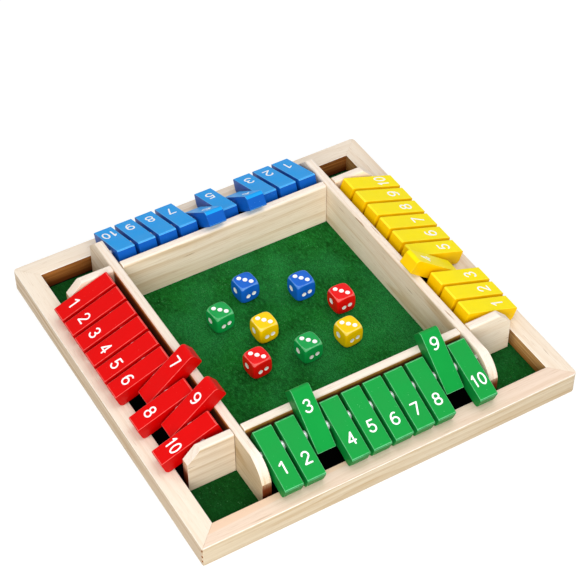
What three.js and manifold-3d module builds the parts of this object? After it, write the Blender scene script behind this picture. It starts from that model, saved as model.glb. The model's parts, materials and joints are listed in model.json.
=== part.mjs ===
// A wooden shut the box game for four players, as a square board that lies on a table.
// Flat rails frame a felted base board. Four inner walls part a square dice tray in the middle
// from four tile bays and four corner pockets. Each bay has a steel rod with ten numbered tiles,
// which turn over from the rail, where a number is open, onto the tray wall, where it is shut.
// Eight dice lie on the felt. Millimetres, Z up, origin in the middle of the underside.
// X runs along the green player's rail to the right, and Y away from that player.
import * as THREE from 'three';
import Module from 'manifold-3d';
import { ConvexGeometry } from 'three/addons/geometries/ConvexGeometry.js';
import { mergeVertices } from 'three/addons/utils/BufferGeometryUtils.js';

const wasm = await Module();
wasm.setup();

// The board, from its middle outwards
const trayWidth = 174.6; // clear width of the square tray, and so of each row of tiles
const wallThickness = 7;
const bayDepth = 39.7; // from a tray wall out to the rail
const railWidth = 16;

// The board, from the table upwards
const railHeight = 18;
const baseThickness = 3.3;
const feltThickness = 1.5;
const wallHeight = 37.4; // from the felt to the top of a wall

// Edges and ends of the wood
const frameCornerRadius = 2.5; // the frame's outer upright corners
const wallEdgeRadius = 2; // the walls' rounded top edges
const wallEndGap = 3.6; // from a wall's free end to the rail
const shoulderLength = 22; // the long walls' rounded shoulders at the front
const shoulderDrop = 16;
const endChamfer = 10.6; // the cut corners of the dividers and of the long walls' back ends

// Gaps between neighbours
const fitGap = 0.3; // between pieces that touch or rest on each other
const feltEdgeGap = 0.4; // from the felt to the front and side rails
const feltBackGap = 2.6; // from the felt to the back rail, where it is cut short

// Rods
const rodRadius = 2;
const rodRunningGap = 0.35; // round the rod, in a tile and in its seat
const rodSeatDepth = 3.6; // the blind hole in the wood for each end of a rod
const rodSpacerRadius = 3.2; // short tubes on a rod, which keep the tiles apart
const rodBelowWallTop = 7.85;
const rodPlaceShare = 0.466; // how far out a rod lies from the wall, of its bay's depth

// Tiles
const tileCount = 10; // in each row
const tileThickness = 12;
const tileGap = 2.9; // between neighbouring tiles
const rowEndGap = 2.7; // between the last tile of a centred row and the wood
const tileReachOnRail = 10.5; // how far the long arm reaches past the inner edge of the rail
const tileSwingGap = 2.3; // between the turning short arm and the wall
const tileEndChamfer = 2; // under the end of the long arm
const tileTopChamfer = 0.8; // over both ends

// Dice
const dieSize = 16;
const dieChamfer = 2;
const pipRadius = 1.55;
const pipDepth = 0.6;

// Flat facets on each round form, and how far a cutter runs past the face that it cuts
const shoulderFacets = 8;
const edgeFacets = 2;
const cornerFacets = 2;
const rodSides = 12;
const boreSides = 8;
const pipSides = 6;
const overrun = 1;

// Places that follow from these sizes
const trayHalf = trayWidth / 2;
const wallOuter = trayHalf + wallThickness;
const wallMiddle = trayHalf + wallThickness / 2;
const railInner = wallOuter + bayDepth;
const frameHalf = railInner + railWidth;
const feltTop = baseThickness + feltThickness;
const wallTop = feltTop + wallHeight;
const wallEnd = railInner - wallEndGap;
const rodToWall = bayDepth * rodPlaceShare;
const rodOut = wallOuter + rodToWall;
const rodHeight = wallTop - rodBelowWallTop;
const quarterTurn = Math.PI / 2;

// The players sit round the board, each a quarter turn on from the one before. Tiles that are
// shut have been turned over. A row stands to one side by a share of the gap at its end.
const players = [
  { colour: 'green', paint: 0x2aa850, shut: [3, 9], crowdShare: -0.08 },
  { colour: 'yellow', paint: 0xffe414, shut: [4], crowdShare: 0.24 },
  { colour: 'blue', paint: 0x2d9ae0, shut: [4, 6], crowdShare: 0 },
  { colour: 'red', paint: 0xe60f10, shut: [7, 9], crowdShare: -0.57 },
];

// Where the dice lie, in shares of half the tray's width, and how many degrees each is turned
const throwShares = [
  { die: 'blue_1', paint: 0x1c6fd2, x: -0.082, y: 0.556, turn: 4 },
  { die: 'blue_2', paint: 0x1c6fd2, x: 0.34, y: 0.332, turn: 1 },
  { die: 'green_1', paint: 0x1e9a4c, x: -0.436, y: 0.352, turn: 6 },
  { die: 'green_2', paint: 0x1e9a4c, x: 0.021, y: -0.322, turn: 3 },
  { die: 'yellow_1', paint: 0xffc814, x: -0.178, y: 0.062, turn: 2 },
  { die: 'yellow_2', paint: 0xffc814, x: 0.4, y: -0.334, turn: 5 },
  { die: 'red_1', paint: 0xdc1e24, x: 0.552, y: 0.024, turn: 0 },
  { die: 'red_2', paint: 0xdc1e24, x: -0.423, y: -0.253, turn: 4 },
];

// Finishes
const paleWood = () => new THREE.MeshStandardMaterial({ color: 0xf0dcc0, roughness: 0.62 });
const darkBoard = () => new THREE.MeshStandardMaterial({ color: 0x0b0908, roughness: 0.9 });
const greenFelt = () => new THREE.MeshStandardMaterial({ color: 0x0f5a1e, roughness: 0.95 });
const steel = () => new THREE.MeshStandardMaterial({ color: 0xc9ccd0, roughness: 0.25, metalness: 1 });
const satinPaint = (color) => new THREE.MeshStandardMaterial({ color, roughness: 0.42 });
const glossyPlastic = (color) => new THREE.MeshStandardMaterial({ color, roughness: 0.2 });

// Booleans: a closed geometry becomes a solid that can be cut and joined, and comes back
function toSolid(geometry) {
  const bare = geometry.clone();
  bare.deleteAttribute('normal');
  bare.deleteAttribute('uv');
  const merged = mergeVertices(bare);
  return new wasm.Manifold(new wasm.Mesh({
    numProp: 3,
    vertProperties: new Float32Array(merged.attributes.position.array),
    triVerts: new Uint32Array(merged.index.array),
  }));
}

function toGeometry(solid) {
  const { vertProperties, triVerts } = solid.getMesh();
  const geometry = new THREE.BufferGeometry();
  geometry.setAttribute('position', new THREE.BufferAttribute(vertProperties, 3));
  geometry.setIndex(new THREE.BufferAttribute(triVerts, 1));
  geometry.computeVertexNormals();
  return geometry;
}

// Outlines, and their extrusion from one height to another. Each arc in an outline becomes the
// given number of facets, which is twice what three.js calls its curve segments.
const drawn = (points) => points.map(([x, y]) => new THREE.Vector2(x, y));

function extrude(outline, from, to, facets = 2) {
  const options = { depth: to - from, bevelEnabled: false, curveSegments: facets / 2 };
  return new THREE.ExtrudeGeometry(outline, options).translate(0, 0, from);
}

const xWay = new THREE.Vector3(1, 0, 0);
const yWay = new THREE.Vector3(0, 1, 0);
const zWay = new THREE.Vector3(0, 0, 1);

// An outline drawn in Y and Z, extruded from one X to another
function extrudeAlongX(outline, from, to, facets) {
  const turned = new THREE.Matrix4().makeBasis(yWay, zWay, xWay);
  return extrude(outline, from, to, facets).applyMatrix4(turned);
}

// An outline drawn in X and Z, extruded from one Y to another
function extrudeAlongY(outline, from, to, facets) {
  const turned = new THREE.Matrix4().makeBasis(xWay, zWay, yWay.clone().negate());
  return extrude(outline, -to, -from, facets).applyMatrix4(turned);
}

// Frame of four rails round the base board
function frameGeometry() {
  const middle = frameHalf - frameCornerRadius;
  const outline = new THREE.Shape();
  for (const [turn, x, y] of [[0, 1, 1], [1, -1, 1], [2, -1, -1], [3, 1, -1]]) {
    const start = turn * quarterTurn;
    outline.absarc(x * middle, y * middle, frameCornerRadius, start, start + quarterTurn);
  }
  const i = railInner;
  outline.holes.push(new THREE.Path(drawn([[-i, -i], [-i, i], [i, i], [i, -i]])));
  return extrude(outline, 0, railHeight, cornerFacets);
}

function baseGeometry() {
  const width = 2 * (railInner - fitGap);
  return new THREE.BoxGeometry(width, width, baseThickness).translate(0, 0, baseThickness / 2);
}

// Felt: one sheet over the tray and the pockets, which runs on under the walls and is notched
// at each bay, where the board stays bare
function feltGeometry() {
  const edge = railInner - feltEdgeGap;
  const points = [];
  for (const side of [-1, 1]) {
    const far = side < 0 ? -edge : railInner - feltBackGap;
    points.push([side * edge, far], [side * trayHalf, far], [side * trayHalf, side * wallOuter]);
    points.push([-side * trayHalf, side * wallOuter], [-side * trayHalf, far], [-side * edge, far]);
    points.push([-side * edge, side * trayHalf], [-side * wallOuter, side * trayHalf]);
    points.push([-side * wallOuter, -side * trayHalf], [-side * edge, -side * trayHalf]);
  }
  return extrude(new THREE.Shape(drawn(points)), baseThickness, feltTop);
}

// A wall's section about its middle: square on the felt, with both top edges rounded
function wallSection(middle) {
  const half = wallThickness / 2;
  const inset = half - wallEdgeRadius;
  const section = new THREE.Shape(drawn([[middle - half, feltTop], [middle + half, feltTop]]));
  section.absarc(middle + inset, wallTop - wallEdgeRadius, wallEdgeRadius, 0, quarterTurn);
  section.absarc(middle - inset, wallTop - wallEdgeRadius, wallEdgeRadius, quarterTurn, 2 * quarterTurn);
  return section;
}

// A long wall seen from the side: a rounded shoulder at the front end, a cut corner at the back
function longWallOutline() {
  const radius = (shoulderLength ** 2 + shoulderDrop ** 2) / (2 * shoulderDrop);
  const start = Math.atan2(radius - shoulderDrop, -shoulderLength);
  const outline = new THREE.Shape();
  outline.moveTo(-wallEnd, feltTop);
  outline.absarc(shoulderLength - wallEnd, wallTop - radius, radius, start, quarterTurn, true);
  outline.lineTo(wallEnd - endChamfer, wallTop);
  outline.lineTo(wallEnd, wallTop - endChamfer);
  outline.lineTo(wallEnd, feltTop);
  return outline;
}

// A divider seen from the side, from inside the long wall that carries it to its free end
function dividerOutline(side) {
  return new THREE.Shape(drawn([
    [side * wallMiddle, feltTop], [side * wallEnd, feltTop], [side * wallEnd, wallTop - endChamfer],
    [side * (wallEnd - endChamfer), wallTop], [side * wallMiddle, wallTop],
  ]));
}

// A hollow with flat sides that all keep the running gap to a rod along X through the origin
function rodClearance(length) {
  const radius = (rodRadius + rodRunningGap) / Math.cos(Math.PI / boreSides);
  return new THREE.CylinderGeometry(radius, radius, length, boreSides).rotateZ(quarterTurn);
}

// A partition: a long wall with a divider glued to its outer face at each end of the side bay,
// and blind seats for four rod ends, two in the long wall and one in each divider
function partitionGeometry(side) {
  const middle = side * wallMiddle;
  const half = wallThickness / 2;
  const face = toSolid(extrudeAlongX(longWallOutline(), middle - half, middle + half, shoulderFacets));
  let wood = face.intersect(toSolid(extrudeAlongY(wallSection(middle), -wallEnd, wallEnd, edgeFacets)));
  const seat = rodClearance(rodSeatDepth + overrun);
  const seatMiddle = trayHalf + (rodSeatDepth - overrun) / 2;
  for (const end of [-1, 1]) {
    const place = end * wallMiddle;
    const board = toSolid(extrudeAlongY(dividerOutline(side), place - half, place + half));
    const rounded = toSolid(extrudeAlongX(wallSection(place), -wallEnd, wallEnd, edgeFacets));
    wood = wood.add(board.intersect(rounded));
    const inLongWall = seat.clone().translate(side * seatMiddle, end * rodOut, rodHeight);
    const inDivider = seat.clone().rotateZ(quarterTurn);
    inDivider.translate(side * rodOut, end * seatMiddle, rodHeight);
    wood = wood.subtract(toSolid(inLongWall)).subtract(toSolid(inDivider));
  }
  return toGeometry(wood);
}

// A cross wall stands between the two long walls
function crossWallGeometry(end) {
  const reach = trayHalf - fitGap;
  return extrudeAlongX(wallSection(end * wallMiddle), -reach, reach, edgeFacets);
}

// How far along its row a tile stands from the middle, or a gap where the number is a half
function placeInRow(number, crowdShare) {
  return (number - (tileCount + 1) / 2) * (tileWidth + tileGap) + crowdShare * rowEndGap;
}

// Rod for one row of tiles, along X through the origin, with a short tube in each gap of the row
function rodGeometry(crowdShare) {
  const length = 2 * (trayHalf + rodSeatDepth - fitGap);
  let rod = toSolid(new THREE.CylinderGeometry(rodRadius, rodRadius, length, rodSides).rotateZ(quarterTurn));
  const tubeLength = tileGap - 2 * rodRunningGap;
  for (let number = 1; number < tileCount; number += 1) {
    const tube = new THREE.CylinderGeometry(rodSpacerRadius, rodSpacerRadius, tubeLength, rodSides);
    tube.rotateZ(quarterTurn).translate(placeInRow(number + 1 / 2, crowdShare), 0, 0);
    rod = rod.add(toSolid(tube));
  }
  return toGeometry(rod);
}

// Tiles: a thick paddle bored across for the rod, nearer to its inner end. The short arm just
// clears the wall when the tile turns. The long arm lies on the rail while the number is open.
const halfTile = tileThickness / 2;
const shortArm = Math.sqrt((rodToWall - tileSwingGap) ** 2 - halfTile ** 2);
const longArm = bayDepth - rodToWall + tileReachOnRail;
const tileWidth = (trayWidth - 2 * rowEndGap - (tileCount - 1) * tileGap) / tileCount;

// The long arm points at the player, along -Y, and its numbered top is up
function tileGeometry() {
  const outline = new THREE.Shape(drawn([
    [-longArm + tileEndChamfer, -halfTile], [shortArm, -halfTile],
    [shortArm, halfTile - tileTopChamfer], [shortArm - tileTopChamfer, halfTile],
    [-longArm + tileTopChamfer, halfTile], [-longArm, halfTile - tileTopChamfer],
    [-longArm, -halfTile + tileEndChamfer],
  ]));
  const paddle = toSolid(extrudeAlongX(outline, -tileWidth / 2, tileWidth / 2));
  return toGeometry(paddle.subtract(toSolid(rodClearance(tileWidth + 2 * overrun))));
}

// How far an open tile tips down, so that the foot of its long arm lies on the rail
function openTilt() {
  const foot = longArm - tileEndChamfer;
  const drop = rodHeight - railHeight - fitGap;
  return Math.asin(drop / Math.hypot(foot, halfTile)) - Math.atan2(halfTile, foot);
}

// How far a shut tile tips up, so that its long arm lies on the wall's rounded outer edge
function shutTilt() {
  const across = rodToWall + wallEdgeRadius;
  const up = rodBelowWallTop - wallEdgeRadius;
  const stand = halfTile + wallEdgeRadius + fitGap;
  return Math.atan2(up, across) + Math.asin(stand / Math.hypot(across, up));
}

// Dice: opposite faces add up to seven. The spots' places on a face are shares of the die's size
// from its middle. They are given as on the top face, with the quarter turns about X and Y that
// carry them from there to their own face.
const spotShares = [
  { turns: [0, 0], places: [[-0.2, 0.24], [0, 0], [0.2, -0.24]] },
  { turns: [1, 0], places: [[-0.18, -0.12], [0.2, -0.08]] },
  { turns: [0, -1], places: [[0, 0]] },
  {
    turns: [0, 1],
    places: [[-0.18, -0.27], [-0.18, 0], [-0.18, 0.27], [0.18, -0.27], [0.18, 0], [0.18, 0.27]],
  },
  { turns: [-1, 0], places: [[-0.24, -0.24], [-0.24, 0.24], [0, 0], [0.24, -0.24], [0.24, 0.24]] },
  { turns: [2, 0], places: [[-0.2, -0.2], [-0.2, 0.2], [0.2, -0.2], [0.2, 0.2]] },
];

function dieGeometry() {
  const half = dieSize / 2;
  const flat = half - dieChamfer;
  const corners = [];
  for (const x of [-1, 1]) {
    for (const y of [-1, 1]) {
      for (const z of [-1, 1]) {
        corners.push(new THREE.Vector3(x * half, y * flat, z * flat));
        corners.push(new THREE.Vector3(x * flat, y * half, z * flat));
        corners.push(new THREE.Vector3(x * flat, y * flat, z * half));
      }
    }
  }
  let die = toSolid(new ConvexGeometry(corners));
  for (const { turns: [aboutX, aboutY], places } of spotShares) {
    for (const [x, y] of places) {
      const drill = new THREE.ConeGeometry(2 * pipRadius, 2 * pipDepth, pipSides).rotateX(-quarterTurn);
      drill.translate(x * dieSize, y * dieSize, half);
      drill.rotateX(aboutX * quarterTurn).rotateY(aboutY * quarterTurn);
      die = die.subtract(toSolid(drill));
    }
  }
  return toGeometry(die);
}

// The whole game
const group = new THREE.Group();

function addPiece(parent, name, geometry, material) {
  const mesh = new THREE.Mesh(geometry, material);
  mesh.name = name;
  parent.add(mesh);
  return mesh;
}

addPiece(group, 'outer_frame', frameGeometry(), paleWood());
addPiece(group, 'base_board', baseGeometry(), darkBoard());
addPiece(group, 'felt_sheet', feltGeometry(), greenFelt());
addPiece(group, 'left_partition', partitionGeometry(-1), paleWood());
addPiece(group, 'right_partition', partitionGeometry(1), paleWood());
addPiece(group, 'front_cross_wall', crossWallGeometry(-1), paleWood());
addPiece(group, 'back_cross_wall', crossWallGeometry(1), paleWood());

players.forEach(({ colour, paint, shut, crowdShare }, turns) => {
  const side = new THREE.Group();
  side.rotation.z = turns * quarterTurn;
  group.add(side);
  addPiece(side, `rod_${colour}`, rodGeometry(crowdShare), steel()).position.set(0, -rodOut, rodHeight);
  for (let number = 1; number <= tileCount; number += 1) {
    const tile = addPiece(side, `tile_${colour}_${number}`, tileGeometry(), satinPaint(paint));
    tile.position.set(placeInRow(number, crowdShare), -rodOut, rodHeight);
    tile.rotation.x = shut.includes(number) ? shutTilt() - 2 * quarterTurn : openTilt();
  }
});

for (const { die, paint, x, y, turn } of throwShares) {
  const mesh = addPiece(group, `die_${die}`, dieGeometry(), glossyPlastic(paint));
  mesh.position.set(x * trayHalf, y * trayHalf, feltTop + fitGap + dieSize / 2);
  mesh.rotation.z = THREE.MathUtils.degToRad(turn);
}

export default group;
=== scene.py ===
# %% [markdown]
# # A wooden shut the box game for four players
# This lesson dresses a finished construction model as the real board: pale pine rails and walls,
# green felt, painted wooden tiles with white numbers on steel rods, and eight glossy dice.
# The construction gives every size and place. Each step below makes one kind of piece, or one
# finish, and says what it is on the real board and why it is made this way.

# %% Load the construction model
import json
import math

import bmesh
import bpy
from mathutils import Matrix, Vector


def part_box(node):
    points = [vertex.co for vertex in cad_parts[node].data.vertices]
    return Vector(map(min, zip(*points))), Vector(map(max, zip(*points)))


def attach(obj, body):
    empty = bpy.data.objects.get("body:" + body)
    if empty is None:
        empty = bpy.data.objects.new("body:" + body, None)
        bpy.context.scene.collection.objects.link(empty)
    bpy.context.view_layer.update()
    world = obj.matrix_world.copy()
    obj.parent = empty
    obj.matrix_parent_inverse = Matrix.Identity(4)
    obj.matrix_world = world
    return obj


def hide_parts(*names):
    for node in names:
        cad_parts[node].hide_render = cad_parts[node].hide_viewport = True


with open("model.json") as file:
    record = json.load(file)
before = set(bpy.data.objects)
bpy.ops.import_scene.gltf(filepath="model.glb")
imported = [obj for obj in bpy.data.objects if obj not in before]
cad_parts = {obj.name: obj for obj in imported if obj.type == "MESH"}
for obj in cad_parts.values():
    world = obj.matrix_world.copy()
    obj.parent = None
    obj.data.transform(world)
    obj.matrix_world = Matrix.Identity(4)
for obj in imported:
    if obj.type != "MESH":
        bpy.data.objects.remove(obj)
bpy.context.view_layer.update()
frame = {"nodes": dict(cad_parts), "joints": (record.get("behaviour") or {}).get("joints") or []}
MM = 0.001
BOARD = "board"

# %% [markdown]
# The camera stands where the photograph was taken from: in front of the board and to its left,
# about 45 degrees up, with a long lens. Its distance is a real size, so the perspective of the
# far rail against the near one comes out as in the picture.

# %% Camera
IMAGE_WIDTH_PX = 576
FOCAL_LENGTH_PX = 1700.4
SENSOR_WIDTH_MM = 36
CAMERA_PLACE = Vector((-426.4, -746.6, 905.3)) * MM
CAMERA_AZIMUTH = math.radians(-29.83)
CAMERA_ELEVATION = math.radians(44.84)
CAMERA_ROLL = math.radians(-0.66)

camera_data = bpy.data.cameras.new("camera")
camera_data.sensor_width = SENSOR_WIDTH_MM
camera_data.lens = SENSOR_WIDTH_MM * FOCAL_LENGTH_PX / IMAGE_WIDTH_PX
camera_data.clip_start = 0.01
camera_data.clip_end = 20
camera = bpy.data.objects.new("camera", camera_data)
bpy.context.scene.collection.objects.link(camera)
level = math.cos(CAMERA_ELEVATION)
back = Vector((math.sin(CAMERA_AZIMUTH) * level, -math.cos(CAMERA_AZIMUTH) * level,
               math.sin(CAMERA_ELEVATION)))
aim = (-back).to_track_quat("-Z", "Y").to_matrix().to_4x4()
camera.matrix_world = Matrix.Translation(CAMERA_PLACE) @ aim @ Matrix.Rotation(CAMERA_ROLL, 4, "Z")
bpy.context.scene.camera = camera
bpy.context.scene.view_settings.view_transform = "Standard"
print("lens", round(camera_data.lens, 2), "mm")

# %% [markdown]
# Every finish here is a small network of nodes. A few helpers keep the networks short: one plugs
# a value, a node or a colour into a socket, one adds a node with its settings, and one starts a
# group with named inputs and outputs. Colours are written as the eye reads them, from 0 to 255,
# and turned into the linear values that the shaders work with.

# %% Helpers for node networks
def linear(colour):
    """A colour as seen on a screen, 0 to 255, in the linear values that shaders use."""
    shares = [value / 255 for value in colour]
    return [s / 12.92 if s <= 0.04045 else ((s + 0.055) / 1.055) ** 2.4 for s in shares] + [1.0]


def plug(tree, value, socket):
    """Links a socket or a node's first output to a socket, or sets a value or colour on it."""
    if isinstance(value, bpy.types.Node):
        value = value.outputs[0]
    if isinstance(value, bpy.types.NodeSocket):
        tree.links.new(value, socket)
    else:
        socket.default_value = linear(value) if socket.type == "RGBA" else value


def add_node(tree, kind, settings=None, **sockets):
    """A new node; a socket's name in the call has _ for each space, and in3 is input number 3."""
    node = tree.nodes.new(kind)
    for key, value in (settings or {}).items():
        setattr(node, key, value)
    for key, value in sockets.items():
        numbered = key[:2] == "in" and key[2:].isdigit()
        plug(tree, value, node.inputs[int(key[2:]) if numbered else key.replace("_", " ")])
    return node


SOCKET_KINDS = {tuple: "Color", float: "Float", int: "Int"}


def start_group(name, inputs, outputs, tree_kind="ShaderNodeTree"):
    """A node group; each input has its default value, or its kind where it has no default."""
    tree = bpy.data.node_groups.new(name, tree_kind)
    for label, value in inputs.items():
        kind = SOCKET_KINDS.get(type(value), value)
        made = tree.interface.new_socket(name=label, in_out="INPUT",
                                         socket_type=f"NodeSocket{kind}")
        if kind != value:
            made.default_value = linear(value) if kind == "Color" else value
    for label, kind in outputs.items():
        tree.interface.new_socket(name=label, in_out="OUTPUT", socket_type=f"NodeSocket{kind}")
    return tree, tree.nodes.new("NodeGroupInput").outputs, tree.nodes.new("NodeGroupOutput").inputs


print("middle grey on a screen is", round(linear((128, 128, 128))[0], 3), "in linear light")

# %% [markdown]
# Four more helpers make what nearly every finish needs: sums and products, noise, a smooth step
# from one value to another, and colours laid over one another.

# %% Noise, steps and mixtures
def maths(tree, operation, *values, clamp=False):
    """The values taken together from left to right; one alone is for SQRT, FRACT or ABSOLUTE."""
    total = values[0]
    for value in values[1:] or (0.0,):
        total = add_node(tree, "ShaderNodeMath", {"operation": operation, "use_clamp": clamp},
                         in0=total, in1=value)
    return total


def noise(tree, vector, scale, detail=2.0, roughness=0.5):
    """Soft noise from 0 to 1; three scales in place of one stretch it along X, Y or Z."""
    if isinstance(scale, tuple):
        vector = add_node(tree, "ShaderNodeVectorMath", {"operation": "MULTIPLY"}, in0=vector,
                          in1=scale)
        scale = 1.0
    return add_node(tree, "ShaderNodeTexNoise", Vector=vector, Scale=scale, Detail=detail,
                    Roughness=roughness)


def ramp(tree, value, low, high, to_low=0.0, to_high=1.0):
    """A smooth step from one value to another."""
    return add_node(tree, "ShaderNodeMapRange", {"interpolation_type": "SMOOTHSTEP"}, Value=value,
                    From_Min=low, From_Max=high, To_Min=to_low, To_Max=to_high)


def layered(tree, colour, *layers):
    """The colour with others laid over it, each as (its share, its colour)."""
    for share, tone in layers:
        colour = add_node(tree, "ShaderNodeMix", {"data_type": "RGBA", "clamp_factor": True},
                          in0=share, in6=colour, in7=tone).outputs[2]
    return colour

# %% [markdown]
# Pine is painted as a solid, not as a picture on its surface. The growth rings are shells round
# a pith line that lies outside the board, so the long faces get lines that run along the board
# and its ends get arcs, and both meet at the edges as they do on a sawn board. Fine fibres and
# pores are noise that is stretched along the grain. Everything is in metres on Object
# coordinates, turned so that the grain runs along X.

# %% Shader group: pine
pine, pine_in, pine_out = start_group("pine", {
    "Vector": "Vector", "Pale": (250, 234, 212), "Late": (226, 196, 152), "Contrast": 0.5,
    "Ring Width": 4.2 * MM}, {"Color": "Color", "Roughness": "Float", "Height": "Float"})
RING_WAVE = 15 * MM
grain = pine_in["Vector"]
parts = add_node(pine, "ShaderNodeSeparateXYZ", Vector=grain).outputs
wave = noise(pine, grain, (5, 28, 28))
squares = [maths(pine, "MULTIPLY", parts[way], parts[way]) for way in "YZ"]
radius = maths(pine, "ADD", maths(pine, "SQRT", maths(pine, "ADD", *squares)),
               maths(pine, "MULTIPLY", wave, RING_WAVE))
ring = maths(pine, "FRACT", maths(pine, "DIVIDE", radius, pine_in["Ring Width"]))
faint = noise(pine, grain, (4, 75, 75), 1.0)
late = maths(pine, "MULTIPLY", ramp(pine, ring, 0.3, 0.88), ramp(pine, ring, 1.0, 0.88),
             ramp(pine, faint, 0.35, 0.62, 0.2, 1.0))
fibres = noise(pine, grain, (22, 1100, 1100), 3.0)
streaks = noise(pine, grain, (5, 170, 170))
pores = noise(pine, grain, (90, 2300, 2300), 1.0)
slits = noise(pine, grain, (38, 420, 420), 0.0)
bands = noise(pine, grain, (2.5, 45, 45), 1.0)
figure = maths(pine, "ADD", late, ramp(pine, streaks, 0.45, 0.85, 0.0, 0.8),
               ramp(pine, fibres, 0.38, 0.72, 0.0, 0.6), ramp(pine, bands, 0.5, 0.8, 0.0, 0.6))
share = maths(pine, "MULTIPLY", figure, pine_in["Contrast"], clamp=True)
colour = layered(pine, pine_in["Pale"], (share, pine_in["Late"]),
                 (ramp(pine, pores, 0.62, 0.78, 0.0, 0.45), (186, 148, 104)),
                 (ramp(pine, slits, 0.83, 0.9, 0.0, 0.7), (160, 118, 74)))
plug(pine, colour, pine_out["Color"])
plug(pine, ramp(pine, share, 0.0, 1.0, 0.52, 0.64), pine_out["Roughness"])
plug(pine, maths(pine, "SUBTRACT", maths(pine, "MULTIPLY", fibres, 0.6), share),
     pine_out["Height"])
print("pine group", len(pine.nodes), "nodes")

# %% [markdown]
# Handled and polished edges look lighter than the faces, and the edges that catch the light
# get a painted highlight as well. Each eased piece carries an "edge" attribute that is 1 on the
# faces that get rubbed wear and painted highlight, such as bevels, so one group can lighten
# them, broken up by noise. A second group sprinkles fine specks of dust, which paint, plastic
# and felt all share.

# %% Shader groups: worn and highlit edges, and dust
edge_wear_and_highlight, edge_wear_and_highlight_in, edge_wear_and_highlight_out = start_group("worn_edges", {
    "Color": "Color", "Edge Color": "Color", "Edge": 0.0, "Amount": 0.5, "Vector": "Vector",
}, {"Color": "Color"})
patchy = ramp(edge_wear_and_highlight, noise(edge_wear_and_highlight, edge_wear_and_highlight_in["Vector"], 260.0, 3.0), 0.25, 0.6, 0.45, 1.0)
wear_and_highlight = maths(edge_wear_and_highlight, "MULTIPLY", edge_wear_and_highlight_in["Edge"], patchy, edge_wear_and_highlight_in["Amount"])
plug(edge_wear_and_highlight, layered(edge_wear_and_highlight, edge_wear_and_highlight_in["Color"], (wear_and_highlight, edge_wear_and_highlight_in["Edge Color"])), edge_wear_and_highlight_out["Color"])

dust, dust_in, dust_out = start_group("dust", {
    "Color": "Color", "Dust Color": (225, 225, 220), "Vector": "Vector", "Spacing": 260.0,
    "Size": 0.06, "Amount": 0.5}, {"Color": "Color"})
cells = add_node(dust, "ShaderNodeTexVoronoi", Vector=dust_in["Vector"], Scale=dust_in["Spacing"])
sparse = ramp(dust, noise(dust, dust_in["Vector"], 90.0, 1.0), 0.5, 0.62)
speck = maths(dust, "MULTIPLY", maths(dust, "LESS_THAN", cells, dust_in["Size"]), sparse,
              dust_in["Amount"])
plug(dust, layered(dust, dust_in["Color"], (speck, dust_in["Dust Color"])), dust_out["Color"])
print("worn edges", len(edge_wear_and_highlight.nodes), "nodes, dust", len(dust.nodes), "nodes")

# %% [markdown]
# A material is one Principled shader. Its plain numbers sit on the shader's own sockets, and
# only what changes over the surface comes from nodes: the colour, the gloss and the relief. The
# plainest finishes take all three from one noise between two close tones.

# %% Helpers for materials
SHADER = "Principled BSDF"


def start_material(name, **values):
    """A material, its tree and its Object coordinates, with values set on its shader."""
    material = bpy.data.materials.new(name)
    material.use_nodes = True
    tree = material.node_tree
    for key, value in values.items():
        plug(tree, value, tree.nodes[SHADER].inputs[key.replace("_", " ")])
    return material, tree, add_node(tree, "ShaderNodeTexCoord").outputs["Object"]


def coat(tree, colour, gloss, height, depth):
    """Plugs what changes over the surface into the shader."""
    inputs = tree.nodes[SHADER].inputs
    plug(tree, colour, inputs["Base Color"])
    if gloss:
        plug(tree, gloss, inputs["Roughness"])
    if depth:
        plug(tree, add_node(tree, "ShaderNodeBump", Height=height, Distance=depth),
             inputs["Normal"])


def use_group(tree, group, **sockets):
    return add_node(tree, "ShaderNodeGroup", {"node_tree": group}, **sockets)


def rubbed(tree, place, colour, tone, amount):
    """The colour with another tone where the edge attribute marks wear and painted highlight."""
    edge = add_node(tree, "ShaderNodeAttribute", {"attribute_name": "edge"}).outputs["Fac"]
    return use_group(tree, edge_wear_and_highlight, Color=colour, Edge_Color=tone, Edge=edge, Amount=amount,
                     Vector=place)


def even_finish(name, tones, scale, detail, depth=0.0, gloss=None, **values):
    """A finish between two tones by one noise, with the gloss that goes with each."""
    material, tree, place = start_material(name, **values)
    uneven = noise(tree, place, scale, detail)
    coat(tree, layered(tree, tones[0], (uneven, tones[1])),
         ramp(tree, uneven, 0.3, 0.7, *gloss) if gloss else None, uneven, depth)
    return material

# %% [markdown]
# Each board of the game is cut from its own plank. The grain runs along X or along Y, and the
# pith lies a few centimetres off in a direction of its own, so no two boards repeat. The tops
# are sanded paler and plainer than the sawn sides, so the colours change with how far a face
# looks up; this change of tone between tops and sides is also painted light and shade. Where
# the wood is in the shade of a bay or near the ground it gets a painted shade in brown, and a
# stain or a painted shade is a soft step along a direction on the board.

# %% Wood finishes
QUARTER = math.pi / 2
# tones for tops and for sides: partly sanding, partly painted light and shade
TOP_WOOD = ((243, 229, 211), (224, 198, 168))
WALL_TOP_WOOD = ((245, 232, 218), (228, 204, 178))
SIDE_WOOD = ((250, 234, 212), (220, 190, 150))
# paler eased edges: sanding wear and a painted highlight
SANDED_AND_HIGHLIT_EDGE = (255, 249, 240)


def stained(tree, place, colour, stains_and_shades):
    """Each stain or painted shade: (colour, direction, how far along it starts, where it is full).
    """
    for tone, direction, start, full in stains_and_shades:
        reach = add_node(tree, "ShaderNodeVectorMath", {"operation": "DOT_PRODUCT"}, in0=place,
                         in1=direction).outputs["Value"]
        colour = layered(tree, colour, (ramp(tree, reach, start, full), tone))
    return colour


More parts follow.
